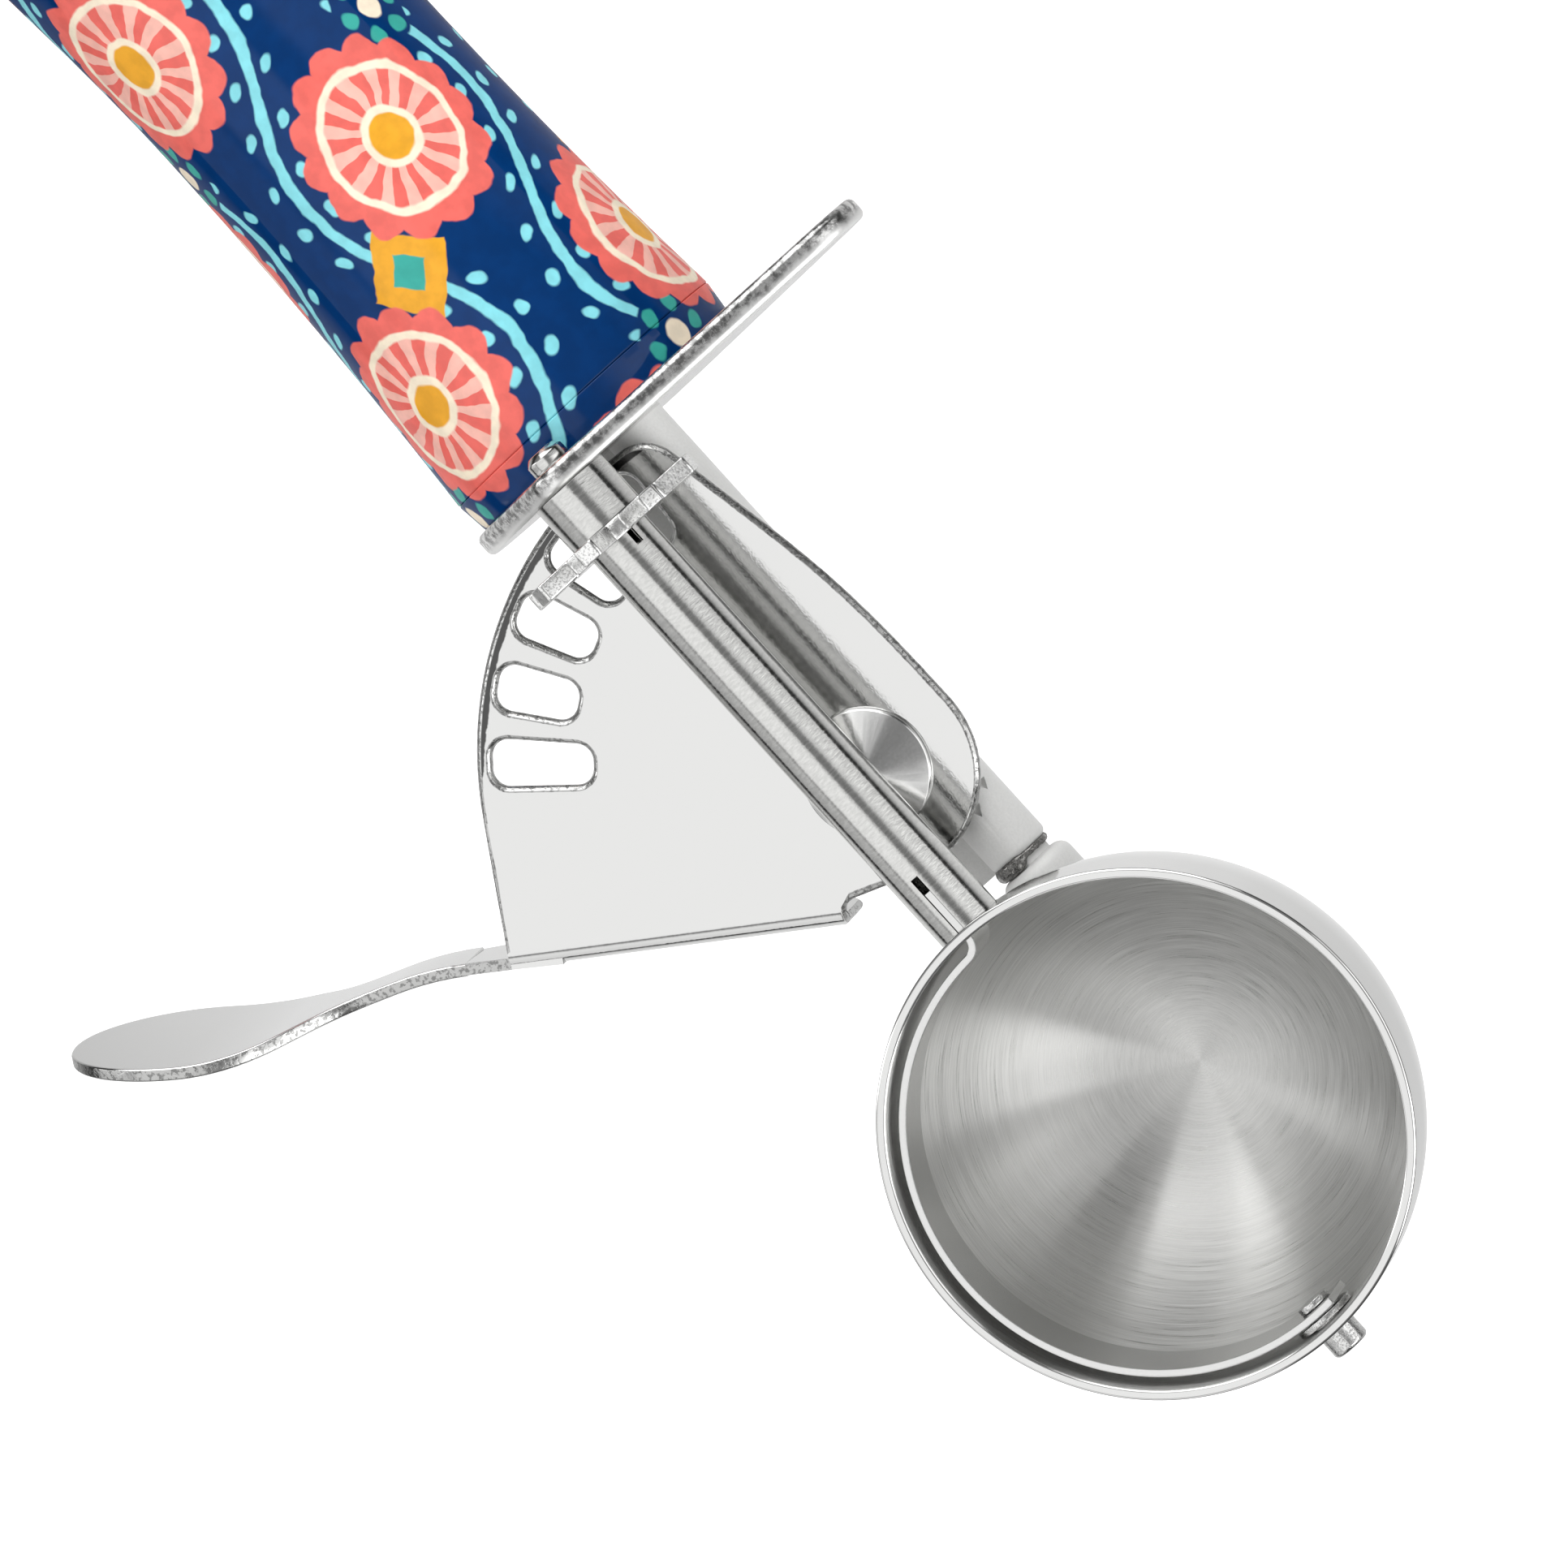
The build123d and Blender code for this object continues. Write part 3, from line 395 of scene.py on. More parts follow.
def round_by_share(piece, width, share, profile, segments=3, least=30.0):
    """Rounds each edge that turns by more than the least angle, by the share that its place gives."""
    with editing(piece):
        mesh = bmesh.from_edit_mesh(piece.data)
        weight = mesh.edges.layers.float.new("bevel_weight_edge")
        for edge in mesh.edges:
            if edge.calc_face_angle(0.0) > math.radians(least):
                edge[weight] = share((edge.verts[0].co + edge.verts[1].co) / 2)
        bmesh.update_edit_mesh(piece.data)
    apply_modifier(
        piece,
        "BEVEL",
        width=width,
        segments=segments,
        limit_method="WEIGHT",
        profile=profile,
        use_clamp_overlap=False,
    )


def smooth(piece, angle=40.0):
    """Smooth shading across edges that turn by less than the angle, with large faces kept flat."""
    only(piece)
    bpy.ops.object.shade_smooth_by_angle(angle=math.radians(angle), keep_sharp_edges=False)
    apply_modifier(piece, "WEIGHTED_NORMAL", mode="FACE_AREA", weight=50, keep_sharp=True)


def close_up(piece):
    """Merges doubled points and turns all faces outwards."""
    with editing(piece):
        bpy.ops.mesh.remove_doubles(threshold=0.002 * MM)
        bpy.ops.mesh.normals_make_consistent(inside=False)


def start_vertex(name, place):
    """New object of one vertex, the start of a drawn line."""
    bpy.ops.object.select_all(action="DESELECT")
    bpy.ops.mesh.primitive_plane_add(size=MM, location=(0, 0, 0))
    piece = bpy.context.object
    piece.name = piece.data.name = name
    with editing(piece):
        bpy.ops.mesh.merge(type="CENTER")
        bpy.ops.transform.translate(value=place)
    return piece


def draw_on(step):
    """In edit mode, extrudes the selected vertex by a step."""
    bpy.ops.mesh.extrude_vertices_move(TRANSFORM_OT_translate={"value": step})


def cleaned(node, name):
    """Copy of a node's solid, cleaned to whole faces."""
    piece = bpy.data.objects.new(name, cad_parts[node].data.copy())
    bpy.context.scene.collection.objects.link(piece)
    piece.data.name = name
    piece.data.materials.clear()
    only(piece)
    bpy.ops.mesh.customdata_custom_splitnormals_clear()
    with editing(piece):
        bpy.ops.mesh.remove_doubles(threshold=0.001 * MM)
        bpy.ops.mesh.dissolve_limited(angle_limit=math.radians(0.5))
    return piece


def softened(node, name, width, segments=2):
    """Copy of a node's solid with its edges rounded."""
    piece = cleaned(node, name)
    round_edges(piece, width, segments)
    smooth(piece)
    return piece


def seat(piece, body, slot, *nodes):
    """Puts a piece on its body in the place of its nodes."""
    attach(piece, body)
    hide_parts(*nodes)


def dress(piece, *materials):
    """Gives a piece its materials, in the order of its face indices."""
    piece.data.materials.clear()
    for material in materials:
        piece.data.materials.append(material)


def mark_faces(piece, test, index=1):
    """Gives the faces that pass the test on centre and normal another of the piece's materials."""
    for face in piece.data.polygons:
        if test(face.center, face.normal):
            face.material_index = index


# Material helpers


class NodeKit:
    """Short calls for the nodes of one tree."""

    def __init__(self, tree):
        self.tree = tree

    def node(self, kind, inputs=(), **settings):
        made = self.tree.nodes.new(kind)
        for name, value in settings.items():
            setattr(made, name, value)
        for name, value in dict(inputs).items():
            self.feed(made.inputs[name], value)
        return made

    def feed(self, socket, value):
        if isinstance(value, bpy.types.NodeSocket):
            self.tree.links.new(value, socket)
        else:
            socket.default_value = value

    def parts(self, vector):
        return self.node("ShaderNodeSeparateXYZ", {"Vector": vector}).outputs

    def vector(self, x, y, z):
        return self.node("ShaderNodeCombineXYZ", {"X": x, "Y": y, "Z": z}).outputs[0]

    def vectors(self, operation, first, second):
        """Outputs of one vector math node, such as SUBTRACT or DISTANCE."""
        return self.node("ShaderNodeVectorMath", {0: first, 1: second}, operation=operation).outputs

    def scaled(self, vector, share):
        """Vector or colour times a share."""
        return self.node("ShaderNodeVectorMath", {0: vector, "Scale": share}, operation="SCALE").outputs[0]

    def calc(self, operation, *values):
        """One math node, such as SINE or ARCTAN2."""
        return self.node("ShaderNodeMath", dict(enumerate(values)), operation=operation).outputs[0]

    def add(self, first, second):
        return self.calc("ADD", first, second)

    def minus(self, first, second):
        return self.calc("SUBTRACT", first, second)

    def times(self, first, second):
        return self.calc("MULTIPLY", first, second)

    def hypot(self, first, second):
        return self.calc("SQRT", self.add(self.times(first, first), self.times(second, second)))

    def span(self, value, low, high, start=0.0, end=1.0):
        """Value mapped smoothly from low..high to start..end."""
        inputs = {"Value": value, "From Min": low, "From Max": high, "To Min": start, "To Max": end}
        return self.node("ShaderNodeMapRange", inputs, interpolation_type="SMOOTHSTEP").outputs[0]

    def noise(self, vector, scale, detail=2.0, roughness=0.5):
        inputs = {"Vector": vector, "Scale": scale, "Detail": detail, "Roughness": roughness}
        return self.node("ShaderNodeTexNoise", inputs).outputs["Fac"]

    def grain(self, vector, scale):
        """Noise with the sharp small detail of metal."""
        return self.noise(vector, scale, detail=3.0, roughness=0.6)

    def vary(self, noise, start, end):
        """Noise over its usual range mapped to start..end."""
        return self.span(noise, *NOISE_RANGE, start, end)

    def stretch(self, vector, scale):
        return self.node("ShaderNodeMapping", {"Vector": vector, "Scale": scale}).outputs[0]

    def blend(self, share, first, second):
        made = self.node("ShaderNodeMix", data_type="RGBA")
        self.feed(made.inputs["Factor"], share)
        self.feed(made.inputs[6], first)
        self.feed(made.inputs[7], second)
        return made.outputs[2]

    def bump(self, height, strength, distance):
        inputs = {"Height": height, "Strength": strength, "Distance": distance}
        return self.node("ShaderNodeBump", inputs).outputs[0]


class Recipe(NodeKit):
    """Nodes of one material, which end in one principled surface."""

    def __init__(self, name):
        self.material = bpy.data.materials.new(name)
        self.material.use_nodes = True
        super().__init__(self.material.node_tree)
        self.surface = self.tree.nodes["Principled BSDF"]

    def set(self, **values):
        """Feeds the surface's sockets, named with underscores for spaces."""
        for name, value in values.items():
            self.feed(self.surface.inputs[name.replace("_", " ")], value)

    def metal(self, colour, roughness, normal):
        """Ends the recipe in bare metal."""
        self.set(Base_Color=colour, Metallic=1.0, Roughness=roughness, Normal=normal)
        return self.material

    def place(self):
        return self.node("ShaderNodeTexCoord").outputs["Object"]


def opaque(colour):
    return (*colour, 1.0)


def steel_finish(name, colour, rough=(0.14, 0.22), grain=0.12):
    """Polished stainless sheet: a fine grain under faint clouds."""
    recipe = Recipe(name)
    place = recipe.place()
    grains = recipe.grain(place, SHEET_GRAIN)
    clouds = recipe.noise(place, scale=160.0)
    return recipe.metal(
        recipe.scaled(colour, recipe.vary(clouds, 0.98, 1.0)),
        recipe.vary(grains, *rough),
        recipe.bump(grains, grain, FINE_DEPTH),
    )


def plate_finish(name, colour, painted_reflection_width, edge_shade):
    """Bright lever sheet: fine grain, and a ragged dark reflection painted into the colour along the
    sector's arc.
    """
    recipe = Recipe(name)
    place = recipe.place()
    grains = recipe.grain(place, SHEET_GRAIN)
    ragged = recipe.grain(place, scale=900.0)
    drift = recipe.noise(place, scale=70.0, detail=1.0)
    x, y, _ = recipe.parts(place)
    reach = recipe.hypot(recipe.minus(x, PIVOT.x), recipe.minus(y, PIVOT.y))
    for noise, share in ((ragged, 0.6), (drift, 1.6)):
        reach = recipe.add(reach, recipe.times(recipe.minus(noise, 0.5), share * painted_reflection_width))

    # The painted dark reflection is widest far from the fold and ends just before it
    outward = recipe.vectors("DOT_PRODUCT", place, FOLD_OUTWARD)["Value"]
    towards_fold = recipe.minus(outward, PIVOT.dot(FOLD_OUTWARD))
    inner = recipe.span(
        towards_fold,
        -1.4 * BEND_START,
        0.4 * BEND_START,
        FOLD_END - 1.7 * painted_reflection_width,
        FOLD_END - 0.5 * painted_reflection_width,
    )
    # Share of the band where the dark reflection is painted, faded out before the fold
    rolled = recipe.span(recipe.minus(reach, inner), 0.0, 0.2 * painted_reflection_width)
    rolled = recipe.times(rolled, recipe.span(towards_fold, 0.3 * BEND_START, 0.4 * BEND_START, 1.0, 0.0))
    shade = recipe.minus(1.0, recipe.times(rolled, 1.0 - edge_shade))
    return recipe.metal(
        recipe.scaled(colour, shade),
        recipe.vary(grains, 0.06, 0.1),
        recipe.bump(grains, 0.22, FINE_DEPTH),
    )


def cut_finish(name, colour, waves, strength, darkest=0.6):
    """Sheared or cast edge: a bright skin over waves and small pits."""
    recipe = Recipe(name)
    place = recipe.place()
    swell = recipe.noise(place, waves)
    grains = recipe.grain(place, 4.0 * waves)
    pits = recipe.span(grains, 0.36, 0.52)
    height = recipe.add(recipe.times(swell, 0.8), recipe.times(pits, 0.2))
    return recipe.metal(
        recipe.scaled(colour, recipe.span(pits, 0.0, 1.0, darkest, 1.0)),
        recipe.vary(grains, 0.3, 0.14),
        recipe.bump(height, strength, BROAD_DEPTH),
    )


def sheared_finish(name, colour, front, back):
    """Punched rim: a burnished band along the front and a pitted, darker break along the back."""
    recipe = Recipe(name)
    place = recipe.place()
    ragged = recipe.grain(place, scale=420.0)
    grains = recipe.noise(place, scale=1500.0, detail=4.0, roughness=0.65)
    depth = recipe.span(recipe.parts(place)[0], front, back)
    broken = recipe.span(recipe.add(depth, recipe.times(ragged, 0.7)), 0.4, 0.95)
    pits = recipe.span(grains, 0.38, 0.62, 0.3, 1.0)
    shade = recipe.minus(1.0, recipe.times(broken, recipe.minus(1.0, pits)))
    height = recipe.add(recipe.times(ragged, 0.3), recipe.times(shade, 0.3))
    return recipe.metal(
        recipe.scaled(colour, shade),
        recipe.span(broken, 0.0, 1.0, 0.4, 0.24),
        recipe.bump(height, 0.3, BROAD_DEPTH),
    )


def spun_finish(name, colour):
    """Inside of the bowl: circular brushing about the bowl's own axis."""
    recipe = Recipe(name)
    x, y, z = recipe.parts(recipe.place())
    latitude = recipe.calc("ARCTAN2", recipe.hypot(x, y), recipe.minus(SHAFT_Z, z))
    turn = recipe.calc("ARCTAN2", y, x)
    circle = [recipe.calc(wave, turn) for wave in ("COSINE", "SINE")]
    brushed = []
    for across, along in ((170.0, 2.2), (45.0, 1.2)):
        lines = recipe.vector(recipe.times(latitude, across), *[recipe.times(c, along) for c in circle])
        brushed.append(recipe.noise(lines, scale=1.0, detail=4.0, roughness=0.7))
    fine, broad = brushed
    both = recipe.add(recipe.times(fine, 0.7), recipe.times(broad, 0.3))
    recipe.set(
        Base_Color=recipe.scaled(colour, recipe.span(both, 0.32, 0.68, 0.76, 1.0)),
        Metallic=1.0,
        Roughness=recipe.vary(both, 0.26, 0.36),
        Anisotropic=1.0,
        Anisotropic_Rotation=0.25,
        Tangent=recipe.node("ShaderNodeTangent", direction_type="RADIAL", axis="Z").outputs[0],
        Normal=recipe.bump(fine, 0.05, FINE_DEPTH),
    )
    return recipe.material


def ground_finish(name, colour):
    """Ground tube: fine rings round the shaft."""
    recipe = Recipe(name)
    rings = recipe.grain(recipe.stretch(recipe.place(), (1.0, 0.3, 0.3)), scale=5000.0)
    return recipe.metal(
        recipe.scaled(colour, recipe.vary(rings, 0.9, 1.06)),
        recipe.vary(rings, 0.1, 0.18),
        recipe.bump(rings, 0.6, FINE_DEPTH),
    )


def plain_finish(name, colour, rough, metallic=0.0):
    """Quiet finish of pieces inside the object, with a fine mottling."""
    recipe = Recipe(name)
    mottle = recipe.noise(recipe.place(), scale=900.0, detail=3.0)
    recipe.set(
        Base_Color=recipe.scaled(colour, recipe.vary(mottle, 0.88, 1.0)),
        Metallic=metallic,
        Roughness=recipe.vary(mottle, rough, rough + 0.12),
        Normal=recipe.bump(mottle, 0.1, FINE_DEPTH),
    )
    return recipe.material


class HandlePrint(Recipe):
    """Print of medallions, scrolls, diamonds and rosettes on a half-drop lattice round the handle."""

    def __init__(self, name, sizes, colours):
        super().__init__(name)
        self.sizes = sizes
        self.inks = {ink: opaque(getattr(colours, ink)) for ink in PRINT_INKS}
        self.layer = self.inks["navy"]
        x, y, z = self.parts(self.wobbled())
        self.from_axis, turn = self.polar((self.minus(z, HANDLE_Z), self.minus(y, HANDLE_Y)))
        radius = (GRIP_HIGH.z - GRIP_LOW.z) / 2
        self.cell_width = FULL_TURN * radius / sizes.motif_columns
        self.along = self.calc("DIVIDE", x, sizes.motif_length)
        self.around = self.times(turn, sizes.motif_columns / FULL_TURN)

    def wobbled(self):
        """Place with a slight hand-drawn wobble."""
        place = self.place()
        inputs = {"Vector": place, "Scale": 420.0, "Detail": 2.0}
        drift = self.node("ShaderNodeTexNoise", inputs).outputs["Color"]
        centred = self.vectors("SUBTRACT", drift, (0.5, 0.5, 0.5))["Vector"]
        return self.vectors("ADD", place, self.scaled(centred, PRINT_WOBBLE))["Vector"]

    def from_centre(self, shift_along, shift_around):
        """Distance along and around from the nearest point of a lattice, in metres."""
        across = []
        for share, shift, length in (
            (self.along, shift_along, self.sizes.motif_length),
            (self.around, shift_around, self.cell_width),
        ):
            inside = self.calc("FRACT", self.add(share, shift))
            across.append(self.times(self.minus(inside, 0.5), length))
        return across

    def polar(self, centre):
        return self.hypot(*centre), self.calc("ARCTAN2", centre[1], centre[0])

    def stamp(self, value, edge, ink):
        """Prints an ink, named or mixed, where the value is under the edge."""
        low, high = self.minus(edge, PRINT_SOFTNESS), self.add(edge, PRINT_SOFTNESS)
        inside = self.span(value, low, high, 1.0, 0.0)
        self.layer = self.blend(inside, self.layer, self.inks[ink] if isinstance(ink, str) else ink)

    def scrolls(self):
        """Wavy lines that swing between the medallions, with drops on both sides."""
        wave = self.calc("SINE", self.times(self.along, FULL_TURN))
        step = self.calc("FRACT", self.times(self.along, self.sizes.motif_drops))
        past = self.times(self.minus(step, 0.5), self.sizes.motif_length / self.sizes.motif_drops)
        for shift, side in ((0.0, 1.0), (0.5, -1.0)):
            around = self.from_centre(shift, shift)[1]
            beside = self.calc("ABSOLUTE", self.minus(around, self.times(wave, side * SCROLL_SWING)))
            self.stamp(beside, SCROLL_HALF_WIDTH, "aqua")
            drop = self.hypot(past, self.minus(beside, DROP_OFF_SCROLL))
            self.stamp(drop, DROP_RADIUS, "aqua")

    def diamonds(self):
        """Small diamonds at the lattice's second points."""
        along, around = self.from_centre(0.0, 0.5)
        reach = self.add(self.calc("ABSOLUTE", along), self.calc("ABSOLUTE", around))
        self.stamp(reach, DIAMOND_REACH, "mustard")
        self.stamp(reach, DIAMOND_EYE, "teal")

    def rosettes(self):
        """Rings of dots at the lattice's third points."""
        distance, turn = self.polar(self.from_centre(0.5, 0.0))
        self.stamp(distance, ROSETTE_GROUND, "navy")
        sector = self.calc("FRACT", self.times(turn, ROSETTE_DOTS / FULL_TURN))
        past = self.times(self.minus(sector, 0.5), ROSETTE_RING * FULL_TURN / ROSETTE_DOTS)
        self.stamp(self.hypot(self.minus(distance, ROSETTE_RING), past), ROSETTE_DOT, "teal")
        self.stamp(distance, ROSETTE_EYE, "cream")

    def medallions(self):
        """Large medallions with a scalloped edge, rings and rays."""
        radius = self.sizes.medallion
        for shift in (0.25, 0.75):
            distance, turn = self.polar(self.from_centre(shift, shift))
            scallop = self.calc("ABSOLUTE", self.calc("COSINE", self.times(turn, MEDALLION_SCALLOPS / 2)))
            edge = self.add(self.times(scallop, SCALLOP_DEPTH), radius - SCALLOP_DEPTH)
            rays = self.span(self.calc("COSINE", self.times(turn, MEDALLION_RAYS)), -0.15, 0.15)
            rayed = self.blend(rays, self.inks["coral"], self.inks["blush"])
            self.stamp(distance, edge, "coral")
            for share, ink in ((0.74, "cream"), (0.66, rayed), (0.3, "cream"), (0.22, "mustard")):
                self.stamp(distance, share * radius, ink)

    def plain_end(self):
        """Plain ground inside a ring, on the end of the handle."""
        for share, ink in ((1.0, "aqua"), (0.88, "navy")):
            self.stamp(self.from_axis, share * self.sizes.end_ring, ink)


def printed_finish(name, sizes, colours):
    """Gloss lacquer over the handle's print."""
    recipe = HandlePrint(name, sizes, colours)
    recipe.scrolls()
    recipe.diamonds()
    recipe.rosettes()
    recipe.medallions()
    recipe.plain_end()
    place = recipe.place()
    mottle = recipe.noise(place, scale=700.0, detail=3.0)
    ripple = recipe.noise(place, scale=90.0)
    recipe.set(
        Base_Color=recipe.scaled(recipe.layer, recipe.vary(mottle, 0.9, 1.05)),
        Roughness=0.4,
        Specular_IOR_Level=0.0,
        Coat_Weight=0.42,
        Coat_Roughness=0.05,
        Normal=recipe.bump(ripple, 0.05, BROAD_DEPTH),
    )
    return recipe.material


# Pieces


class ScoopOperator:
    """Shared settings of the scoop's operators."""

    bl_options = {"REGISTER"}


def sizes_and_colours(context):
    return context.scene.scoop_sizes, context.scene.scoop_colours


class SCOOP_OT_bowl(ScoopOperator, bpy.types.Operator):
    """Cut the bowl from a sphere, with its straight rim, brushed inside and drilled wall"""

    bl_idname = "scoop.bowl"
    bl_label = "Bowl"

    def execute(self, context):
        sizes, colours = sizes_and_colours(context)
        bpy.ops.object.select_all(action="DESELECT")
        bpy.ops.mesh.primitive_uv_sphere_add(
            segments=192, ring_count=128, radius=BOWL_RADIUS, location=(0, 0, SHAFT_Z)
        )
        shell = context.object
        shell.name = shell.data.name = "bowl_shell"
        bpy.ops.object.transform_apply(location=True, rotation=False, scale=False)
        with editing(shell):
            bpy.ops.mesh.bisect(plane_co=(0, 0, SHAFT_Z), plane_no=(0, 0, 1), clear_outer=True)
            pick(shell, lambda place: place.z > SHAFT_Z - TOUCH)
            band = (0, 0, BOWL_HIGH.z - SHAFT_Z)
            bpy.ops.mesh.extrude_region_move(TRANSFORM_OT_translate={"value": band})
        close_up(shell)
        dress(
            shell,
            steel_finish("bowl_polish", colours.steel, rough=(0.06, 0.12), grain=0.05),
            spun_finish("bowl_spun", colours.spun_steel),
        )
        apply_modifier(
            shell,
            "SOLIDIFY",
            thickness=sizes.bowl_wall,
            offset=-1.0,
            use_even_offset=True,
            material_offset=1,
        )
        round_edges(shell, sizes.rim_round, segments=3, least=50.0)
        for low, high, away in ((TUBE_LOW, TUBE_HIGH, -1), (END_PIN_LOW, END_PIN_HIGH, 1)):
            self.drill(shell, (high.z - low.z) / 2 + HOLE_CLEARANCE, away)
        smooth(shell)
        seat(shell, "frame", "bowl_steel", "bowl")
        return {"FINISHED"}

    def drill(self, shell, radius, away):
        """Cuts a round hole through the wall on one side of the bowl, along the shaft."""
        bpy.ops.object.select_all(action="DESELECT")
        bpy.ops.mesh.primitive_cylinder_add(
            vertices=64,
            radius=radius,
            depth=BOWL_RADIUS / 2,
            location=(away * BOWL_RADIUS, 0, SHAFT_Z),
            rotation=(0, math.pi / 2, 0),
        )
        bit = bpy.context.object
        apply_modifier(shell, "BOOLEAN", operation="DIFFERENCE", object=bit, solver="EXACT")
        bpy.data.objects.remove(bit)


class SCOOP_OT_scraper(ScoopOperator, bpy.types.Operator):
    """Bend the hoop scraper out of a strip and finish its end pin and washer"""

    bl_idname = "scoop.scraper"
    bl_label = "Scraper"

    def execute(self, context):
        sizes, colours = sizes_and_colours(context)
        hoop = self.bend_strip(sizes)
        dress(hoop, steel_finish("hoop_polish", colours.steel, rough=(0.16, 0.24), grain=0.1))
        seat(hoop, "scraper", "bright_steel", "scraper_blade")
        for node in ("blade_pin", "blade_washer"):
            piece = softened(node, f"{node}_finished", sizes.fine_round)
            dress(piece, cut_finish(f"{node}_steel", colours.steel, waves=1600.0, strength=0.3))
            seat(piece, "scraper", "bright_steel", node)
        return {"FINISHED"}

    def bend_strip(self, sizes):
        """Draws the strip's edge, pulls it along the tang and turns it round the bend and the bowl."""
        radius = -HOOP_LOW.y - sizes.hoop_thick / 2
        bend = sizes.hoop_bend
        bend_x = -math.sqrt((radius + bend) ** 2 - bend**2)
        lead = math.asin(bend / (radius + bend))
        overrun = math.asin(min(1.0, HOOP_HIGH.y / radius))
        hoop = start_vertex("scraper_hoop", (HOOP_LOW.x, 0, HOOP_LOW.z))
        with editing(hoop):
            draw_on((0, 0, HOOP_HIGH.z - HOOP_LOW.z))
            bpy.ops.mesh.select_all(action="SELECT")
            bpy.ops.mesh.extrude_region_move(TRANSFORM_OT_translate={"value": (bend_x - HOOP_LOW.x, 0, 0)})
            bpy.ops.mesh.spin(
                steps=16, angle=math.pi / 2 - lead, center=(bend_x, -bend, 0), axis=(0, 0, 1)
            )
            bpy.ops.mesh.spin(
                steps=160, angle=math.pi - lead + overrun, center=(0, 0, 0), axis=(0, 0, -1)
            )
        close_up(hoop)
        apply_modifier(hoop, "SOLIDIFY", thickness=sizes.hoop_thick, offset=0.0, use_even_offset=True)
        round_edges(hoop, sizes.fine_round, least=50.0)
        smooth(hoop)
        return hoop


class SCOOP_OT_shaft(ScoopOperator, bpy.types.Operator):
    """Finish the slotted tube, its pinion, sleeve and pin, and what turns inside them"""

    bl_idname = "scoop.shaft"
    bl_label = "Shaft"

    def execute(self, context):
        sizes, colours = sizes_and_colours(context)
        cut = cut_finish("pinion_edge", colours.satin_steel, waves=1500.0, strength=0.15)
        tube = softened("shaft_tube", "shaft_tube_finished", sizes.fine_round)
        dress(tube, ground_finish("tube_ground", colours.bright_steel))
        seat(tube, "scraper", "bright_steel", "shaft_tube")
        pinion = softened("pinion", "pinion_finished", sizes.sheet_round)
        dress(pinion, steel_finish("pinion_face", colours.steel), cut)
        mark_faces(pinion, lambda centre, normal: abs(normal.x) < PINION_SKIN)
        seat(pinion, "scraper", "bright_steel", "pinion")
        for node in ("hub_sleeve", "shaft_pin"):
            piece = softened(node, f"{node}_finished", sizes.fine_round)
            dress(piece, ground_finish(f"{node}_ground", colours.bright_steel))
            seat(piece, "frame", "bright_steel", node)
        dress(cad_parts["tube_bush"], plain_finish("bush_nylon", colours.nylon, rough=0.5))
        wire = plain_finish("spring_wire", colours.cut_steel, rough=0.3, metallic=1.0)
        dress(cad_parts["return_spring"], wire)
        return {"FINISHED"}


class SCOOP_OT_lever(ScoopOperator, bpy.types.Operator):
    """Finish the pressed thumb lever with its punched edges, and its pivot"""

    bl_idname = "scoop.lever"
    bl_label = "Thumb lever"

    def execute(self, context):
        sizes, colours = sizes_and_colours(context)
        lever = cleaned("thumb_lever", "thumb_lever_finished")
        round_by_share(lever, sizes.press_round, self.edge_share, PRESS_PROFILE)
        with editing(lever):
            bpy.ops.mesh.bisect(plane_co=PIVOT + FOLD_DIRECTION * FOLD_END, plane_no=FOLD_DIRECTION)
        smooth(lever)
        dress(
            lever,
            plate_finish("lever_sheet", colours.steel, sizes.painted_reflection_width, edge_shade=0.12),
            cut_finish("lever_edge", colours.cut_steel, waves=700.0, strength=0.5, darkest=0.5),
        )
        mark_faces(lever, self.is_cut_edge)
        seat(lever, "lever", "bright_steel", "thumb_lever")
        rivet = softened("pivot_rivet", "pivot_rivet_finished", sizes.sheet_round)
        dress(rivet, steel_finish("rivet_steel", colours.steel, rough=(0.15, 0.21), grain=0.05))
        seat(rivet, "frame", "bright_steel", "pivot_rivet")
        for node in ("pivot_bush", "pivot_spacer"):
            inner = plain_finish(f"{node}_steel", colours.cut_steel, rough=0.3, metallic=1.0)
            dress(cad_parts[node], inner)
        return {"FINISHED"}

    def edge_share(self, place):
        """Share of the full rounding: less on pad and neck, none where the neck leaves the flange."""
        reach = (place - PIVOT).dot(FOLD_DIRECTION)
        if reach > FOLD_END + NECK_JOINT:
            return PAD_ROUND
        on_flange = (place - PIVOT).dot(FOLD_OUTWARD) > BEND_START
        if on_flange and reach > FOLD_END - 2 * NECK_JOINT:
            return 0.0
        return 1.0

    def is_cut_edge(self, centre, normal):
        """Whether a face is the sheared edge of the sheet and not one of its two skins."""
        from_pivot = centre - PIVOT
        across_strip = abs(normal.dot(FOLD_OUTWARD))
        if from_pivot.dot(FOLD_DIRECTION) > FOLD_END + TOUCH:
            return across_strip < STRIP_SKIN
        if from_pivot.dot(FOLD_OUTWARD) < BEND_START:
            return abs(normal.z) < PLATE_SKIN
        if abs(normal.dot(FOLD_DIRECTION)) > STRIP_SKIN:
            return True
        return from_pivot.z < -BEND_ROUND and across_strip < STRIP_SKIN


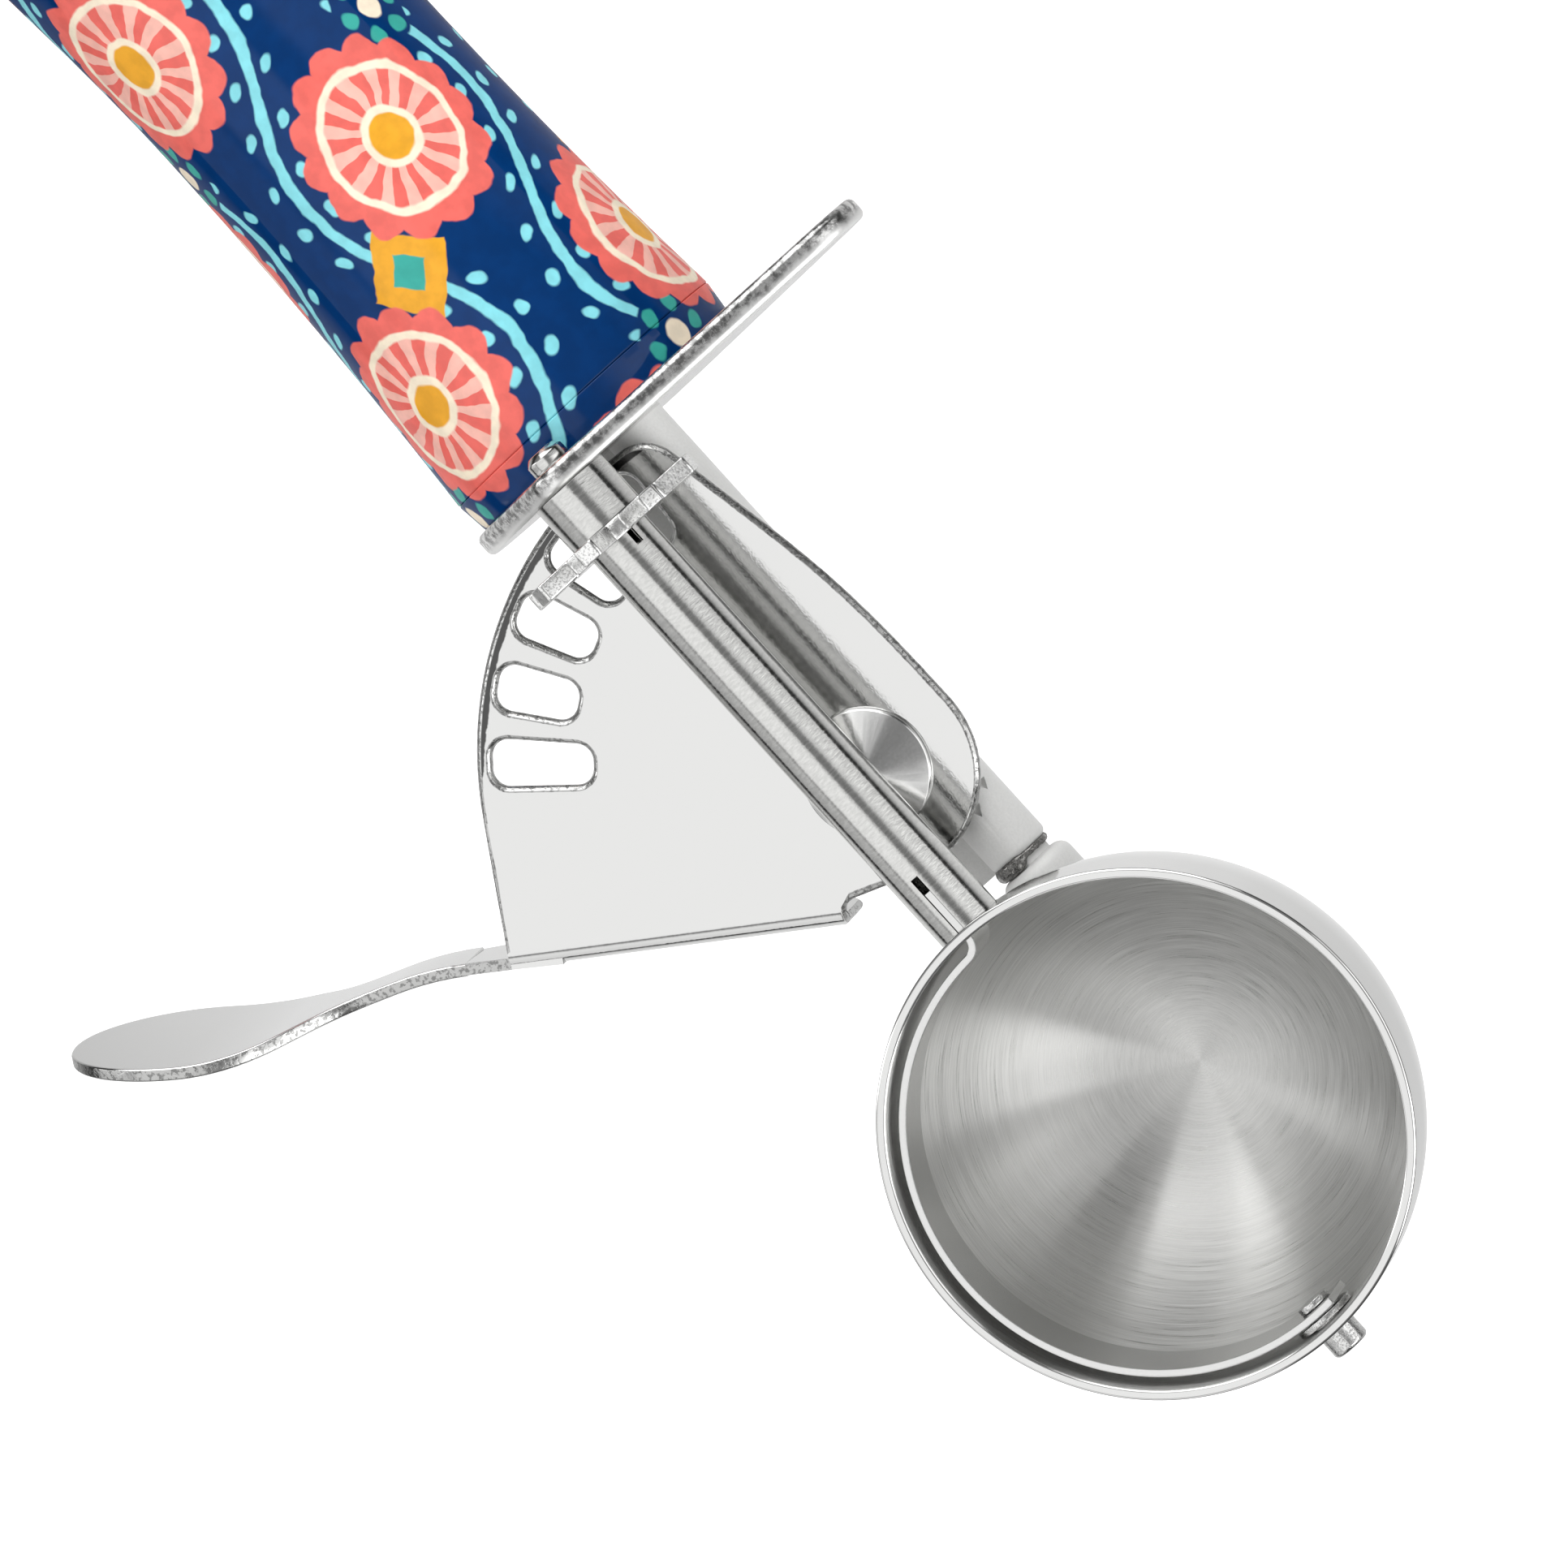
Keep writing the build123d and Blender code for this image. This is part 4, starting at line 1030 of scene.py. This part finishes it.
class SCOOP_OT_shank(ScoopOperator, bpy.types.Operator):
    """Finish the rolled shank and the foot on the bowl, with the weld between them"""

    bl_idname = "scoop.shank"
    bl_label = "Shank"

    def execute(self, context):
        sizes, colours = sizes_and_colours(context)
        polish = steel_finish("shank_steel", colours.satin_steel, rough=(0.78, 0.88), grain=0.03)
        for node in ("shank", "bowl_saddle"):
            piece = softened(node, f"{node}_finished", sizes.fine_round)
            dress(piece, polish)
            seat(piece, "frame", "bright_steel", node)
        weld = self.lay_weld(sizes)
        dress(weld, cut_finish("weld_steel", colours.weld_grey, waves=1400.0, strength=0.8))
        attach(weld, "frame")
        return {"FINISHED"}

    def lay_weld(self, sizes):
        """Crinkled bead round the foot's neck, heavier on the side towards the shaft tube."""
        bpy.ops.object.select_all(action="DESELECT")
        bpy.ops.mesh.primitive_torus_add(
            major_radius=sizes.weld_ring,
            minor_radius=sizes.weld_bead,
            major_segments=96,
            minor_segments=16,
            location=(SHANK_HIGH.x + WELD_STAND * sizes.weld_bead, FOOT_LINE.y, FOOT_LINE.z),
            rotation=(0, math.pi / 2, 0),
        )
        weld = bpy.context.object
        weld.name = weld.data.name = "neck_weld"
        bpy.ops.object.transform_apply(location=True, rotation=True, scale=False)
        with editing(weld):
            pick(weld, lambda place: place.y < FOOT_LINE.y and place.z > FOOT_LINE.z)
            bpy.ops.transform.resize(
                value=WELD_SWELL,
                center_override=(SHANK_HIGH.x, FOOT_LINE.y, FOOT_LINE.z),
                use_proportional_edit=True,
                proportional_size=sizes.weld_ring / 2,
            )
        ripple = bpy.data.textures.new("weld_ripple", "CLOUDS")
        ripple.noise_scale = WELD_RIPPLE
        ripple.noise_depth = 2
        apply_modifier(
            weld,
            "DISPLACE",
            texture=ripple,
            texture_coords="LOCAL",
            strength=WELD_CRINKLE * sizes.weld_bead,
            mid_level=0.5,
        )
        smooth(weld, angle=60.0)
        return weld


class SCOOP_OT_guard(ScoopOperator, bpy.types.Operator):
    """Finish the finger guard with its rough sheared rim"""

    bl_idname = "scoop.guard"
    bl_label = "Finger guard"

    def execute(self, context):
        sizes, colours = sizes_and_colours(context)
        guard = softened("finger_guard", "finger_guard_finished", sizes.fine_round)
        dress(
            guard,
            steel_finish("guard_face", colours.steel, rough=(0.12, 0.2), grain=0.1),
            sheared_finish("guard_rim", colours.satin_steel, GUARD_HIGH.x, GUARD_LOW.x),
        )
        mark_faces(guard, lambda centre, normal: abs(normal.x) < GUARD_SKIN)
        seat(guard, "frame", "guard_steel", "finger_guard")
        return {"FINISHED"}


class SCOOP_OT_handle(ScoopOperator, bpy.types.Operator):
    """Finish the printed handle, its collar and its end cap"""

    bl_idname = "scoop.handle"
    bl_label = "Handle"

    def execute(self, context):
        sizes, colours = sizes_and_colours(context)
        print_finish = printed_finish("handle_print", sizes, colours)
        for node in ("handle_grip", "handle_collar", "handle_butt_cap"):
            piece = softened(node, f"{node}_finished", sizes.sheet_round, segments=3)
            dress(piece, print_finish)
            seat(piece, "frame", "handle_print" if node == "handle_grip" else "handle_lacquer", node)
        dress(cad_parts["handle_core"], plain_finish("core_plastic", colours.core, rough=0.45))
        return {"FINISHED"}


class SCOOP_OT_stage(ScoopOperator, bpy.types.Operator):
    """Set up the pale floor, the soft studio light and the camera"""

    bl_idname = "scoop.stage"
    bl_label = "Stage"

    def execute(self, context):
        stage = context.scene.scoop_stage
        context.scene.view_settings.view_transform = "Standard"
        self.lay_floor(stage)
        self.light_sky(context, stage)
        self.place_camera(context)
        return {"FINISHED"}

    def lay_floor(self, stage):
        bpy.ops.object.select_all(action="DESELECT")
        floor_level = CAD_BOX[0].z - FLOOR_GAP
        bpy.ops.mesh.primitive_plane_add(size=stage.floor_size, location=(0, 0, floor_level))
        floor = bpy.context.object
        floor.name = "studio_floor"
        recipe = Recipe("floor_white")
        seen = recipe.node("ShaderNodeLightPath").outputs["Is Camera Ray"]
        away = recipe.vectors("DISTANCE", recipe.place(), POOL_CENTRE)["Value"]
        fade = recipe.span(away, POOL_EVEN * stage.floor_pool, stage.floor_pool)
        glow = recipe.times(recipe.minus(1.0, fade), stage.floor_glow)
        recipe.set(
            Base_Color=recipe.blend(fade, PALE, DIM),
            Roughness=0.9,
            Specular_IOR_Level=0.0,
            Emission_Color=WHITE,
            Emission_Strength=recipe.calc("MAXIMUM", glow, recipe.times(seen, stage.floor_white)),
        )
        dress(floor, recipe.material)

    def light_sky(self, context, stage):
        world = bpy.data.worlds.new("studio_sky")
        world.use_nodes = True
        context.scene.world = world
        sky = NodeKit(world.node_tree)
        toward = sky.node("ShaderNodeTexCoord").outputs["Generated"]
        x, y, z = sky.parts(toward)
        level = sky.hypot(x, y)
        light = sky.span(z, 0.0, ZENITH_FROM, stage.horizon, stage.zenith)
        facing = sky.vectors("DOT_PRODUCT", toward, TOP_LIGHT)["Value"]
        edge = [math.cos(math.radians(TOP_LIGHT_WIDTH * share)) for share in TOP_LIGHT_EDGE]
        light = sky.add(light, sky.span(facing, *edge, 0.0, TOP_LIGHT_STRENGTH))
        for bearing, half_width, full, gone, strength in SOFT_PANELS:
            turn = math.radians(bearing)
            facing = sky.add(sky.times(x, math.cos(turn)), sky.times(y, math.sin(turn)))
            facing = sky.calc("DIVIDE", facing, sky.calc("MAXIMUM", level, LEAST_LEVEL))
            edge = [math.cos(math.radians(half_width + side * PANEL_EDGE)) for side in (1, -1)]
            panel = sky.times(sky.span(facing, *edge), sky.span(z, full, gone, strength, 0.0))
            light = sky.add(light, panel)
        seen = sky.node("ShaderNodeLightPath").outputs["Is Camera Ray"]
        background = world.node_tree.nodes["Background"]
        sky.feed(background.inputs["Color"], WHITE)
        sky.feed(background.inputs["Strength"], sky.calc("MAXIMUM", light, seen))

    def place_camera(self, context):
        lens = bpy.data.cameras.new("photo_camera")
        lens.sensor_width = CAMERA_SENSOR
        lens.lens = FOCAL_PIXELS / PHOTO_PIXELS * CAMERA_SENSOR
        lens.clip_start = CAMERA_CLIP
        camera = bpy.data.objects.new("photo_camera", lens)
        context.scene.collection.objects.link(camera)
        back = CAMERA_RIGHT.cross(CAMERA_UP)
        camera.matrix_world = Matrix.Translation(CAMERA_PLACE) @ Matrix(
            (CAMERA_RIGHT, CAMERA_UP, back)
        ).transposed().to_4x4()
        context.scene.camera = camera


OPERATORS = (
    SCOOP_OT_bowl,
    SCOOP_OT_scraper,
    SCOOP_OT_shaft,
    SCOOP_OT_lever,
    SCOOP_OT_shank,
    SCOOP_OT_guard,
    SCOOP_OT_handle,
    SCOOP_OT_stage,
)


class SCOOP_PT_panel(bpy.types.Panel):
    """Lists the scoop's pieces and the values that they are made from"""

    bl_idname = "SCOOP_PT_panel"
    bl_label = "Cookie scoop"
    bl_space_type = "VIEW_3D"
    bl_region_type = "UI"
    bl_category = "Scoop"

    def draw(self, context):
        for operator in OPERATORS:
            self.layout.operator(operator.bl_idname)
        for group in (context.scene.scoop_sizes, context.scene.scoop_colours, context.scene.scoop_stage):
            column = self.layout.column(align=True)
            for name in group.__annotations__:
                column.prop(group, name)


CLASSES = (ScoopSizes, ScoopColours, ScoopStage, *OPERATORS, SCOOP_PT_panel)


def register():
    for cls in CLASSES:
        bpy.utils.register_class(cls)
    bpy.types.Scene.scoop_sizes = PointerProperty(type=ScoopSizes)
    bpy.types.Scene.scoop_colours = PointerProperty(type=ScoopColours)
    bpy.types.Scene.scoop_stage = PointerProperty(type=ScoopStage)


def unregister():
    del bpy.types.Scene.scoop_stage
    del bpy.types.Scene.scoop_colours
    del bpy.types.Scene.scoop_sizes
    for cls in reversed(CLASSES):
        bpy.utils.unregister_class(cls)


def main():
    register()
    bpy.ops.scoop.bowl()
    bpy.ops.scoop.scraper()
    bpy.ops.scoop.shaft()
    bpy.ops.scoop.lever()
    bpy.ops.scoop.shank()
    bpy.ops.scoop.guard()
    bpy.ops.scoop.handle()
    bpy.ops.scoop.stage()


if __name__ == "__main__":
    main()
